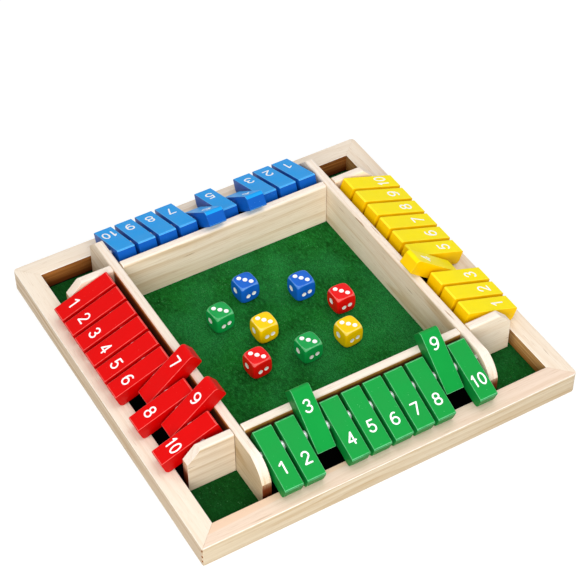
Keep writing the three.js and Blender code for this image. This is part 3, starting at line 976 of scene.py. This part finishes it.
def felt_mesh():
    xs, ys = axis_steps(-FELT_EDGE, FELT_EDGE), axis_steps(-FELT_EDGE, FELT_BACK)
    grid = {}

    def corner(i, j):
        if (i, j) not in grid:
            x, y = xs[i], ys[j]
            ripple = math.sin(x * 71 + 1.3 * math.sin(y * 43)) * math.sin(y * 59 + 0.7)
            grid[i, j] = cloth.verts.new((x, y, FELT_TOP - FELT_LIFT * (0.6 + 0.4 * ripple)))
        return grid[i, j]

    mesh = bpy.data.meshes.new("felt")
    with Editing(mesh) as cloth:
        for i in range(len(xs) - 1):
            for j in range(len(ys) - 1):
                if has_cloth((xs[i] + xs[i + 1]) / 2, (ys[j] + ys[j + 1]) / 2):
                    cloth.faces.new([corner(i, j), corner(i + 1, j), corner(i + 1, j + 1),
                                     corner(i, j + 1)])
        area = sum(face.calc_area() for face in cloth.faces)
        for vertex in cloth.verts:
            if vertex.is_boundary:
                vertex.co.z -= EDGE_SINK
    mesh.shade_smooth()
    made = modified(mesh, ("SOLIDIFY", {"thickness": FELT_TOP - BASE_TOP - FELT_LIFT,
                                        "offset": -1}))
    for vertex in made.vertices:
        vertex.co.z = max(vertex.co.z, BASE_TOP + UNDERSIDE_GAP)
    made.set_sharp_from_angle(angle=math.radians(50))
    return made, area


mesh, felt_area = felt_mesh()
felt = finished("felt", mesh, [felt_paint], BOARD, ["felt_sheet"])
print("felt", len(mesh.polygons), "faces, cut area", round(felt_area, 5), "square metres")

# %% [markdown]
# What repeats is made by Geometry Nodes. Each tree has named inputs, which are set by their
# identifiers before the tree runs, and it makes its copies real and gives them their material,
# so that what comes out is a plain mesh.

# %% Helpers for Geometry Nodes
def start_tree(name, **inputs):
    """A Geometry Nodes tree whose inputs have _ for each space in their names."""
    named = {label.replace("_", " "): value for label, value in inputs.items()}
    return start_group(name, {"Geometry": "Geometry", **named}, {"Geometry": "Geometry"},
                       "GeometryNodeTree")


def end_tree(tree, geometry, material, outputs):
    real = add_node(tree, "GeometryNodeRealizeInstances", Geometry=geometry)
    plug(tree, add_node(tree, "GeometryNodeSetMaterial", Geometry=real, Material=material),
         outputs["Geometry"])


def run_tree(mesh, tree, **values):
    """The mesh that a Geometry Nodes tree makes of another, with its named inputs set."""
    holder = in_scene(mesh)
    change = holder.modifiers.new("nodes", "NODES")
    change.node_group = tree
    for item in tree.interface.items_tree:
        label = item.name.replace(" ", "_")
        if item.item_type == "SOCKET" and item.in_out == "INPUT" and label in values:
            change[item.identifier] = values[label]
    return plain(holder)

# %% [markdown]
# Real felt sheds a little: short curled fibres lie on its nap. Geometry Nodes scatter them, with
# the count, length and thickness as inputs and a fixed seed, so the scatter is the same each
# time. A fibre has only a few faces.

# %% Geometry Nodes: lint
UPWARDS = 0.8
SMALLEST_SHARE, LARGEST_SHARE = 0.45, 1.15

lint, lint_in, lint_out = start_tree("lint", Per_Square_Metre=26000.0, Length=1.6 * MM,
                                     Thickness=0.05 * MM, Seed=7, Material="Material")
normal = add_node(lint, "GeometryNodeInputNormal")
height = add_node(lint, "ShaderNodeSeparateXYZ", in0=normal).outputs["Z"]
on_top = add_node(lint, "FunctionNodeCompare", {"operation": "GREATER_THAN"}, in0=height,
                  in1=UPWARDS)
points = add_node(lint, "GeometryNodeDistributePointsOnFaces", Mesh=lint_in["Geometry"],
                  Selection=on_top, Density=lint_in["Per Square Metre"], Seed=lint_in["Seed"])
bend = add_node(lint, "GeometryNodeCurveQuadraticBezier", Resolution=5,
                Start=(-0.5, 0, 0.02), Middle=(0.05, 0.5, 0.12), End=(0.5, -0.1, 0.02))
round_section = add_node(lint, "GeometryNodeCurvePrimitiveCircle", Resolution=3, Radius=0.5)
thin = maths(lint, "DIVIDE", lint_in["Thickness"], lint_in["Length"])
thin_section = add_node(lint, "GeometryNodeTransform", Geometry=round_section,
                        Scale=add_node(lint, "ShaderNodeCombineXYZ", in0=thin, in1=thin, in2=thin))
fibre = add_node(lint, "GeometryNodeCurveToMesh", Curve=bend, Profile_Curve=thin_section,
                 Fill_Caps=True)
turn = add_node(lint, "FunctionNodeRandomValue", {"data_type": "FLOAT_VECTOR"},
                in0=(0, 0, 0), in1=(0, 0, 2 * math.pi), Seed=lint_in["Seed"])
size = add_node(lint, "FunctionNodeRandomValue", {"data_type": "FLOAT"}, in2=SMALLEST_SHARE,
                in3=LARGEST_SHARE, Seed=lint_in["Seed"])
spread = add_node(lint, "GeometryNodeInstanceOnPoints", Points=points, Instance=fibre,
                  Rotation=turn, Scale=maths(lint, "MULTIPLY", size.outputs[1], lint_in["Length"]))
end_tree(lint, spread, lint_in["Material"], lint_out)
print("lint tree", len(lint.nodes), "nodes")

# %% [markdown]
# The felt runs on under the walls, but lint doesn't. Fibres there, and near the walls and the
# rails, are deleted, and so is what is left of a fibre that was cut in two.

# %% Lint on the felt
FROM_WALL, FROM_RAIL = 1.2 * MM, 4 * MM


def at_a_wall(vertex):
    near, far = sorted((abs(vertex.co.x), abs(vertex.co.y)))
    in_tray = far < TRAY_HALF - FROM_WALL
    in_pocket = near > WALL_OUTER + FROM_WALL and far < RAIL_INNER - FROM_RAIL
    return not in_tray and not in_pocket


def torn(vertex):
    return not vertex.link_faces or any(edge.is_boundary for edge in vertex.link_edges)


mesh = run_tree(felt.data.copy(), lint, Material=lint_paint)
with Editing(mesh) as fibres:
    strays = [vertex for vertex in fibres.verts if at_a_wall(vertex)]
    while strays:
        bmesh.ops.delete(fibres, geom=strays, context="VERTS")
        strays = [vertex for vertex in fibres.verts if torn(vertex)]
lint_piece = finished("felt_lint", mesh, [lint_paint], BOARD)
print("lint", len(mesh.polygons), "faces")

# %% [markdown]
# Each tile's place is read from the construction model: the hinge gives the rod's line, the two
# largest faces give the thickness, and the longer arm says which way the tile points.

# %% How each tile lies
def tile_place(node, joint):
    """The tile's own frame: X along the player's row, Y away from its long arm, Z out of its top,
    with the origin on the rod; and its reach along each way."""
    mesh = frame["nodes"][node].data
    origin = Vector(joint["pos_m"])
    right = -Vector(joint["axis"]).normalized()
    broad = max(mesh.polygons, key=lambda face: face.area * (abs(face.normal.dot(right)) < 0.1))
    top = broad.normal.normalized()
    points = [vertex.co - origin for vertex in mesh.vertices]

    def reach(way):
        return max(point.dot(way) for point in points)

    if reach(right.cross(top)) < reach(-right.cross(top)):
        top = -top
    away = top.cross(right)
    basis = Matrix((right, away, top)).transposed().to_4x4()
    sizes = {"long": reach(-away), "short": reach(away), "half": reach(top),
             "left": reach(-right), "right": reach(right)}
    return Matrix.Translation(origin) @ basis, sizes


HINGES = {joint["child"]: joint for joint in frame["joints"] if joint["type"] == "hinge"}
TILES = {node: tile_place(node, joint)[0] for node, joint in HINGES.items()}
SIZES = tile_place("tile_green_1", HINGES["tile_green_1"])[1]
TILE_LONG, TILE_SHORT, TILE_HALF = SIZES["long"], SIZES["short"], SIZES["half"]
TILE_HALF_WIDTH = (SIZES["left"] + SIZES["right"]) / 2
print("tiles", len(TILES), {key: round(value / MM, 2) for key, value in SIZES.items()})

# %% [markdown]
# Short steel tubes on the rods keep the tiles apart. They repeat along a rod, so Geometry Nodes
# set one on each point of a line: a flat band is swept round a circle and turned to the rod's
# direction. The tree joins them to the rod that it is given.

# %% Geometry Nodes: spacer tubes
spacers, spacers_in, spacers_out = start_tree(
    "spacer_tubes", First=0.0, Step=17.0 * MM, Count=9, Middle_Radius=2.6 * MM, Wall=1.1 * MM,
    Length=2.2 * MM, Material="Material")
start_point, step = (add_node(spacers, "ShaderNodeCombineXYZ", X=spacers_in[label])
                     for label in ("First", "Step"))
line = add_node(spacers, "GeometryNodeMeshLine", {"mode": "OFFSET"}, Count=spacers_in["Count"],
                Start_Location=start_point, Offset=step)
hoop = add_node(spacers, "GeometryNodeCurvePrimitiveCircle", Resolution=32,
                Radius=spacers_in["Middle Radius"])
band = add_node(spacers, "GeometryNodeCurvePrimitiveQuadrilateral", Width=spacers_in["Wall"],
                Height=spacers_in["Length"])
soft_band = add_node(spacers, "GeometryNodeFilletCurve", {"mode": "POLY"}, Curve=band, Count=2,
                     Radius=0.25 * MM)
tube = add_node(spacers, "GeometryNodeCurveToMesh", Curve=hoop, Profile_Curve=soft_band)
turned_tube = add_node(spacers, "GeometryNodeTransform", Geometry=tube,
                       Rotation=(0, QUARTER, 0))
tubes = add_node(spacers, "GeometryNodeInstanceOnPoints", Points=line, Instance=turned_tube)
both = add_node(spacers, "GeometryNodeJoinGeometry", in0=tubes)
plug(spacers, spacers_in["Geometry"], both.inputs[0])
end_tree(spacers, both, spacers_in["Material"], spacers_out)
print("spacer tree", len(spacers.nodes), "nodes")

# %% [markdown]
# The rods are bright drawn steel, cut to length with a small chamfer at each end. A rod is half
# its outline, spun round the axis, which gives round ends with no boolean.

# %% Rods
ROD_CHAMFER = 0.4 * MM
SPACER_HOLE = ROD_RADIUS - 0.3 * MM
ROD_SIDES = 40
ROUND_ANGLE = 30


def rod_mesh():
    """A bare rod along X."""
    rim = ROD_RADIUS - ROD_CHAMFER
    inner = ROD_HALF - ROD_CHAMFER
    profile = [(-ROD_HALF, 0.0), (-ROD_HALF, rim), (-inner, ROD_RADIUS), (inner, ROD_RADIUS),
               (ROD_HALF, rim), (ROD_HALF, 0.0)]
    mesh = bpy.data.meshes.new("rod")
    with Editing(mesh) as solid:
        line = [solid.verts.new((x, 0, r)) for x, r in profile]
        edges = [solid.edges.new(pair) for pair in zip(line, line[1:])]
        bmesh.ops.spin(solid, geom=line + edges, cent=(0, 0, 0), axis=(1, 0, 0), dvec=(0, 0, 0),
                       angle=2 * math.pi, steps=ROD_SIDES, use_merge=True)
        bmesh.ops.remove_doubles(solid, verts=solid.verts, dist=0.001 * MM)
        bmesh.ops.recalc_face_normals(solid, faces=solid.faces)
    return shade(mesh, ROUND_ANGLE)


for turns, colour_name in enumerate(["green", "yellow", "blue", "red"]):
    to_side = Matrix.Rotation(turns * QUARTER, 4, "Z")
    first, second = ((to_side.inverted() @ TILES[f"tile_{colour_name}_{number}"].translation).x
                     for number in (1, 2))
    mesh = run_tree(rod_mesh(), spacers, First=(first + second) / 2, Step=second - first,
                    Middle_Radius=(SPACER_RADIUS + SPACER_HOLE) / 2,
                    Wall=SPACER_RADIUS - SPACER_HOLE, Material=steel)
    shade(mesh, ROUND_ANGLE)
    mesh.transform(to_side @ Matrix.Translation((0, -ROD_OUT, ROD_HEIGHT)))
    node = f"rod_{colour_name}"
    finished(f"{node}_bar", mesh, [steel], BOARD, [node])
    print(node, len(mesh.polygons), "faces, a tube every", round((second - first) / MM, 2), "mm")

# %% [markdown]
# All forty tiles are the same paddle. It is drawn from the side, bored for the rod, and eased on
# its edges, with a rounded corner under the long arm. Only the edges round its broad faces get
# the painted highlight.

# %% Tile paddle
FOOT_RADIUS = 3.2 * MM
TILE_EASE = 0.35 * MM
TOP_EASE = 0.8 * MM
BORE_RADIUS = ROD_RADIUS + 0.3 * MM
BROAD_SLANT = 0.3


def paddle():
    long, short, half = TILE_LONG, TILE_SHORT, TILE_HALF
    outline = arc((-long + FOOT_RADIUS, -half + FOOT_RADIUS), FOOT_RADIUS, 180, 270, 6)
    outline += [(short, -half), (short, half - TOP_EASE), (short - TOP_EASE, half),
                (-long + TOP_EASE, half), (-long, half - TOP_EASE)]
    mesh = eased(prism(outline, -TILE_HALF_WIDTH, TILE_HALF_WIDTH, "x"), TILE_EASE, 3)
    mark_rubbed(mesh, [mark.value and abs(face.normal.z) > BROAD_SLANT
                       for face, mark in zip(mesh.polygons, mesh.attributes["edge"].data)])
    bore = rod_along("x", (0, 0), BORE_RADIUS, -TILE_HALF_WIDTH - REACH, TILE_HALF_WIDTH + REACH)
    return tidy(boolean(mesh, bore, "DIFFERENCE"))


paddle_mesh = paddle()
print("paddle", len(paddle_mesh.polygons), "faces")

# %% [markdown]
# The numbers are printed in a plain rounded hand. Each digit is a few strokes of one width with
# round ends: straight lines and stretches of an ellipse. A font would need a file, and its shape
# would be somebody's design, so each stroke is drawn here as a thin solid.

# %% Strokes of the digits
DIGIT_HEIGHT = 9.6 * MM
DIGIT_WIDTH = 6.3 * MM
STROKE = 1.22 * MM
INK_DEPTH = 0.3 * MM
# Strokes in shares of the box that the stroke's centre line fills. A line is (x, y, x, y), and a
# bow is (centre x, centre y, half width, half height, start degrees, end degrees).
DIGIT_SHARES = {
    0: [(0.5, 0.5, 0.5, 0.5, 0, 360)],
    1: [(0.12, 0.78, 0.6, 1.0), (0.6, 1.0, 0.6, 0.0)],
    2: [(0.5, 0.71, 0.46, 0.29, 172, -32), (0.89, 0.557, 0.02, 0.0), (0.02, 0.0, 1.0, 0.0)],
    3: [(0.46, 0.76, 0.42, 0.24, 160, -90), (0.46, 0.26, 0.5, 0.26, 90, -160)],
    4: [(0.74, 0.0, 0.74, 1.0), (0.74, 1.0, 0.0, 0.27), (0.0, 0.27, 1.0, 0.27)],
    5: [(0.9, 1.0, 0.2, 1.0), (0.2, 1.0, 0.1, 0.53), (0.46, 0.31, 0.5, 0.31, 136, -155)],
    6: [(0.5, 0.3, 0.5, 0.3, 0, 360), (0.62, 0.4, 0.62, 0.6, 68, 186)],
    7: [(0.0, 1.0, 0.96, 1.0), (0.96, 1.0, 0.34, 0.0)],
    8: [(0.5, 0.76, 0.42, 0.24, 0, 360), (0.5, 0.27, 0.5, 0.27, 0, 360)],
    9: [(0.5, 0.7, 0.5, 0.3, 0, 360), (0.38, 0.6, 0.62, 0.6, -112, 6)],
}


def stroke_solid(spine, closed):
    """A thin solid one stroke wide round its spine, with round ends if it isn't closed."""
    half, count = STROKE / 2, len(spine)
    sides = []
    for i, (x, y) in enumerate(spine):
        before = spine[i - 1] if closed or i else spine[i]
        after = spine[(i + 1) % count] if closed or i < count - 1 else spine[i]
        way = Vector((after[0] - before[0], after[1] - before[1])).normalized()
        sides.append((Vector((x, y)), Vector((way.y, -way.x)) * half))
    right, left = ([tuple(p + n * hand) for p, n in sides] for hand in (1, -1))
    if closed:
        return boolean(prism(right, 0, INK_DEPTH), prism(left, -INK_DEPTH, 2 * INK_DEPTH),
                       "DIFFERENCE")
    outline = []
    for run, (end, sideways), turn in ((right, sides[-1], 0), (left[::-1], sides[0], 180)):
        start = math.degrees(math.atan2(sideways.y, sideways.x)) + turn
        outline += run + arc(tuple(end), half, start, start + 180, 8)[1:-1]
    return prism(outline, 0, INK_DEPTH)


def digit_strokes(number, shift, width):
    """The stroke solids of one digit whose centre-line box starts at x = shift."""
    tall = DIGIT_HEIGHT - STROKE
    solids = []
    for values in DIGIT_SHARES[number]:
        closed = False
        if len(values) == 4:
            spine = [values[:2], values[2:]]
        else:
            cx, cy, rx, ry, start, end = values
            closed = abs(end - start) == 360
            steps = max(10, round(abs(end - start) / 9))
            spine = [(cx + rx * x, cy + ry * y) for x, y in arc((0, 0), 1, start, end, steps)]
            spine = spine[:-1] if closed else spine
        spine = [(shift + x * width, y * tall - tall / 2) for x, y in spine]
        solids.append(stroke_solid(spine, closed))
    return solids


print("digits", len(DIGIT_SHARES), "with", sum(len(s) for s in DIGIT_SHARES.values()), "strokes")

# %% [markdown]
# A Geometry Nodes boolean melts a number's strokes into one clean body, whatever their overlaps.
# In the 10 both digits are slimmer.

# %% Numbers
DIGIT_SPACING = 1.1 * MM
SLIM_ONE, SLIM_OTHER = 0.6, 0.86

melt, melt_in, melt_out = start_tree("melt_strokes", Material="Material")
joined = add_node(melt, "GeometryNodeMeshBoolean", {"operation": "UNION", "solver": "EXACT"},
                  in1=melt_in["Geometry"], Self_Intersection=True)
end_tree(melt, joined, melt_in["Material"], melt_out)


def joined_meshes(name, meshes):
    made = bpy.data.meshes.new(name)
    with Editing(made) as everything:
        for mesh in meshes:
            everything.from_mesh(mesh)
    return made


def number_mesh(number):
    """A number as one body of ink, its middle at the origin, facing up and reading along X."""
    digits = [int(letter) for letter in str(number)]
    slim = {digit: 1.0 if len(digits) == 1 else SLIM_ONE if digit == 1 else SLIM_OTHER
            for digit in digits}
    widths = [(DIGIT_WIDTH - STROKE) * slim[digit] for digit in digits]
    total = sum(widths) + (len(digits) - 1) * (DIGIT_SPACING + STROKE)
    shift, strokes = -total / 2, []
    for digit, width in zip(digits, widths):
        strokes += digit_strokes(digit, shift, width)
        shift += width + DIGIT_SPACING + STROKE
    return tidy(run_tree(joined_meshes("strokes", strokes), melt, Material=INK))


NUMBERS = {number: number_mesh(number) for number in range(1, 11)}
print("number faces", {number: len(mesh.polygons) for number, mesh in NUMBERS.items()})

# %% [markdown]
# A number is printed on both faces of a tile, near the end of its long arm, and reads upright
# for its player both while the tile is open and after it is turned over. So the second print
# faces the other way, with its head towards the long arm's end. The prints of the two far rows
# are a little taller, and a few prints lie further from the end than the rest, or nearer to it.

# %% Tiles with their numbers
INK_PROUD = 0.06 * MM
DIGIT_FROM_END = 14.6 * MM
DIGIT_STRETCH = {"blue": 1.18, "yellow": 1.16}
DIGIT_NUDGES = {"tile_green_1": 1.2 * MM, "tile_green_2": 1.0 * MM, "tile_green_5": 2.0 * MM,
                "tile_green_9": -3.6 * MM, "tile_red_7": -2.0 * MM, "tile_red_9": 1.2 * MM}


def both_prints(number, stretch, nudge):
    across = -TILE_LONG + DIGIT_FROM_END + nudge
    sink = TILE_HALF + INK_PROUD - INK_DEPTH
    upright = Matrix.Translation((0, across, sink))
    turned = Matrix(((1, 0, 0, 0), (0, -1, 0, across), (0, 0, -1, -sink), (0, 0, 0, 1)))
    prints = []
    for place in (upright, turned):
        prints.append(NUMBERS[number].copy())
        prints[-1].transform(place @ Matrix.Diagonal((1, stretch, 1, 1)))
    return joined_meshes(f"prints_{number}", prints)


for node, place in TILES.items():
    _, colour_name, number = node.split("_")
    mesh = paddle_mesh.copy()
    mesh.transform(place)
    finished(f"{node}_paddle", mesh, [PAINTS[colour_name]], node, [node])
    mesh = both_prints(int(number), DIGIT_STRETCH.get(colour_name, 1.0),
                       DIGIT_NUDGES.get(node, 0.0))
    mesh.transform(place)
    finished(f"{node}_number", shade(mesh, 25), [INK], node)
print("painted", len(TILES), "tiles with", len(PAINTS), "paints")

# %% [markdown]
# The spots of a die are shallow round hollows. Their places are shares of the die's size,
# opposite faces add up to seven, and the single spot is larger than the others. Each spot gets a
# loose point where the middle of the ball goes that will cut it.

# %% Spots on the six faces
die_low, die_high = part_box("die_red_1")
DIE_SIZE = die_high.z - die_low.z
SPOT_RADIUS = 1.85 * MM
SPOT_DEPTH = 0.45 * MM
LIP_RADIUS = 2.05 * MM
LIP_DEPTH = 0.1 * MM
SINGLE_SPOT = 1.35
# each face: its quarter turns about X and Y, how large its spots are, and their places
SPOTS = [
    ((0, 0), 1.0, [(-0.19, 0.24), (0, 0), (0.19, -0.24)]),
    ((1, 0), 1.0, [(-0.15, -0.09), (0.16, -0.05)]),
    ((0, -1), SINGLE_SPOT, [(0.02, 0.08)]),
    ((0, 1), 1.0, [(x, y) for x in (-0.18, 0.18) for y in (-0.27, 0, 0.27)]),
    ((-1, 0), 1.0, [(-0.24, -0.24), (-0.24, 0.24), (0, 0), (0.24, -0.24), (0.24, 0.24)]),
    ((2, 0), 1.0, [(x, y) for x in (-0.2, 0.2) for y in (-0.2, 0.2)]),
]


def ball_centres(larger, lift):
    """Loose points, one over each spot of one size on a die about the origin."""
    centres = []
    for (about_x, about_y), size, places in SPOTS:
        turn = (Matrix.Rotation(about_y * QUARTER, 3, "Y")
                @ Matrix.Rotation(about_x * QUARTER, 3, "X"))
        out = turn @ Vector((0, 0, 1))
        centres += [turn @ Vector((x * DIE_SIZE, y * DIE_SIZE, DIE_SIZE / 2)) + out * lift
                    for x, y in places if size == larger]
    return mesh_of(centres)

# %% [markdown]
# Geometry Nodes set a ball on each of those points and cut them all away in one boolean. The
# balls carry a material, which the hollows keep.

# %% Geometry Nodes: hollow out the spots
hollow, hollow_in, hollow_out = start_tree("hollow_spots", Centres="Object",
                                           Ball_Radius=2.0 * MM, Hollow_Material="Material")
centres = add_node(hollow, "GeometryNodeObjectInfo", Object=hollow_in["Centres"])
ball = add_node(hollow, "GeometryNodeMeshUVSphere", Segments=28, Rings=20,
                Radius=hollow_in["Ball Radius"])
coloured_ball = add_node(hollow, "GeometryNodeSetMaterial", Geometry=ball,
                         Material=hollow_in["Hollow Material"])
balls = add_node(hollow, "GeometryNodeInstanceOnPoints", Points=centres.outputs["Geometry"],
                 Instance=coloured_ball)
real_balls = add_node(hollow, "GeometryNodeRealizeInstances", Geometry=balls)
cut = add_node(hollow, "GeometryNodeMeshBoolean", {"operation": "DIFFERENCE", "solver": "EXACT"},
               in0=hollow_in["Geometry"], in1=real_balls)
plug(hollow, cut, hollow_out["Geometry"])
print("hollow tree", len(hollow.nodes), "nodes")

# %% [markdown]
# A die is a tumbled cube: its edges melt round, and its corners are worn back towards a ball.
# Both come from one formula, a cube and a ball in a high norm, so no edge needs a bevel. Each
# spot is cut twice, first shallow and wide, which leaves a lip in the die's own colour, then
# deeper, with a hollow that is painted white.

# %% Die
DIE_BALL_SHARE = 0.744
DIE_SHARPNESS = 16
DIE_STEPS = 28
CROWDING = 1.8


def tumbled_cube(half):
    """A grid of points on a cube, crowded towards its edges and pulled in onto the worn shape."""
    mesh = bpy.data.meshes.new("tumbled_cube")
    with Editing(mesh) as solid:
        bmesh.ops.create_cube(solid, size=2.0)
        bmesh.ops.subdivide_edges(solid, edges=solid.edges[:], cuts=DIE_STEPS - 1,
                                  use_grid_fill=True)
        for vertex in solid.verts:
            way = Vector([math.copysign(1 - (1 - min(1.0, abs(c))) ** CROWDING, c)
                          for c in vertex.co])
            norm = sum((abs(c) / half) ** DIE_SHARPNESS for c in way)
            norm += (way.length / (2 * half * DIE_BALL_SHARE)) ** DIE_SHARPNESS
            vertex.co = way * norm ** (-1 / DIE_SHARPNESS)
    return mesh


def worn_off(normal):
    """True on the rounded edges and corners that look up; they get a painted highlight."""
    return max(abs(c) for c in normal) < 0.93 and normal.z > 0.3


def die_mesh():
    mesh = tumbled_cube(DIE_SIZE / 2)
    body = PLASTICS["red"]
    mesh.materials.append(body)
    for larger in (1.0, SINGLE_SPOT):
        for radius, deep, material in ((LIP_RADIUS, LIP_DEPTH, body),
                                       (SPOT_RADIUS, SPOT_DEPTH, SPOT_PAINT)):
            ball_radius = ((radius * larger) ** 2 + deep ** 2) / (2 * deep)
            centres = in_scene(ball_centres(larger, ball_radius - deep))
            mesh = run_tree(mesh, hollow, Centres=centres, Ball_Radius=ball_radius,
                            Hollow_Material=material)
            bpy.data.objects.remove(centres)
    white = [mesh.materials[face.material_index] == SPOT_PAINT for face in mesh.polygons]
    mesh.polygons.foreach_set("material_index", [int(mark) for mark in white])
    # upward rounded edges get the painted highlight
    mark_rubbed(mesh, [worn_off(face.normal) and not mark
                       for face, mark in zip(mesh.polygons, white)])
    return shade(mesh, 40)


die_template = die_mesh()
print("die", len(die_template.polygons), "faces, size", round(DIE_SIZE / MM, 2), "mm")

# %% [markdown]
# The dice lie where they fell. Their middles come from the construction model, and each is
# turned a few degrees, as in the photograph.

# %% Dice on the felt
DIE_TURNS = {"blue_1": 4, "blue_2": 1, "green_1": 6, "green_2": 3, "yellow_1": 2, "yellow_2": 5,
             "red_1": 0, "red_2": 4}
for die_name, degrees in DIE_TURNS.items():
    node = f"die_{die_name}"
    low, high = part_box(node)
    middle = (low + high) / 2
    middle.z = low.z + DIE_SIZE / 2
    mesh = die_template.copy()
    mesh.transform(Matrix.Translation(middle) @ Matrix.Rotation(math.radians(degrees), 4, "Z"))
    colour_name = die_name.split("_")[0]
    finished(f"{node}_cube", mesh, [PLASTICS[colour_name], SPOT_PAINT], node,
             [node])
    print(node, "at", [round(v / MM, 1) for v in middle])

# %% [markdown]
# The studio is a pale floor with a bright, even surround, a wide soft lamp low in front, which
# fills the upright faces, and a wider one overhead, which lights the tops. What the camera and
# the reflections see of the floor and the surround is plain white, and the floor keeps the
# shadow.

# %% Studio
WHITE = (255, 255, 255)
SURROUND = 0.52
FLOOR_LIFT = 0.76
FLOOR_HALF = 6.0
OVERHEAD_WATTS = 9.0
FRONT_WATTS = 19.0


def seen_or_not(tree, lighting, seen, end):
    """One shader for the light, and another for what the camera, gloss and glass show."""
    rays = add_node(tree, "ShaderNodeLightPath").outputs
    direct = maths(tree, "MAXIMUM", rays["Is Camera Ray"], rays["Is Glossy Ray"],
                   rays["Is Transmission Ray"])
    either = add_node(tree, "ShaderNodeMixShader", in0=direct, in1=lighting, in2=seen)
    plug(tree, either, tree.nodes[end].inputs["Surface"])


world = bpy.data.worlds.new("surround")
bpy.context.scene.world = world
world.use_nodes = True
tree = world.node_tree
surround, seen = (add_node(tree, "ShaderNodeBackground", Color=WHITE, Strength=strength)
                  for strength in (SURROUND, 1.0))
seen_or_not(tree, surround, seen, "World Output")

floor_paint, tree, place = start_material("floor", Roughness=0.9, Specular_IOR_Level=0.1)
shader = tree.nodes[SHADER]
shader.inputs["Base Color"].default_value = (0.3, 0.3, 0.3, 1)
lift = add_node(tree, "ShaderNodeEmission", Color=WHITE, Strength=FLOOR_LIFT)
seen_or_not(tree, shader, add_node(tree, "ShaderNodeAddShader", in0=shader, in1=lift),
            "Material Output")
corners = [(x * FLOOR_HALF, y * FLOOR_HALF, 0) for x, y in ((-1, -1), (1, -1), (1, 1), (-1, 1))]
floor_mesh = mesh_of(corners, [(0, 1, 2, 3)])
floor_mesh.materials.append(floor_paint)
floor = in_scene(floor_mesh, "floor")

for name, place, size, watts in (("overhead", (0.25, -0.1, 1.5), 1.5, OVERHEAD_WATTS),
                                 ("front", (-0.75, -1.25, 0.75), 1.2, FRONT_WATTS)):
    lamp = bpy.data.lights.new(name, "AREA")
    lamp.shape, lamp.size, lamp.energy = "DISK", size, watts
    made = in_scene(lamp, name)
    made.location = place
    made.rotation_euler = (-Vector(place)).to_track_quat("-Z", "Y").to_euler()
    print("lamp", name, watts, "watts")
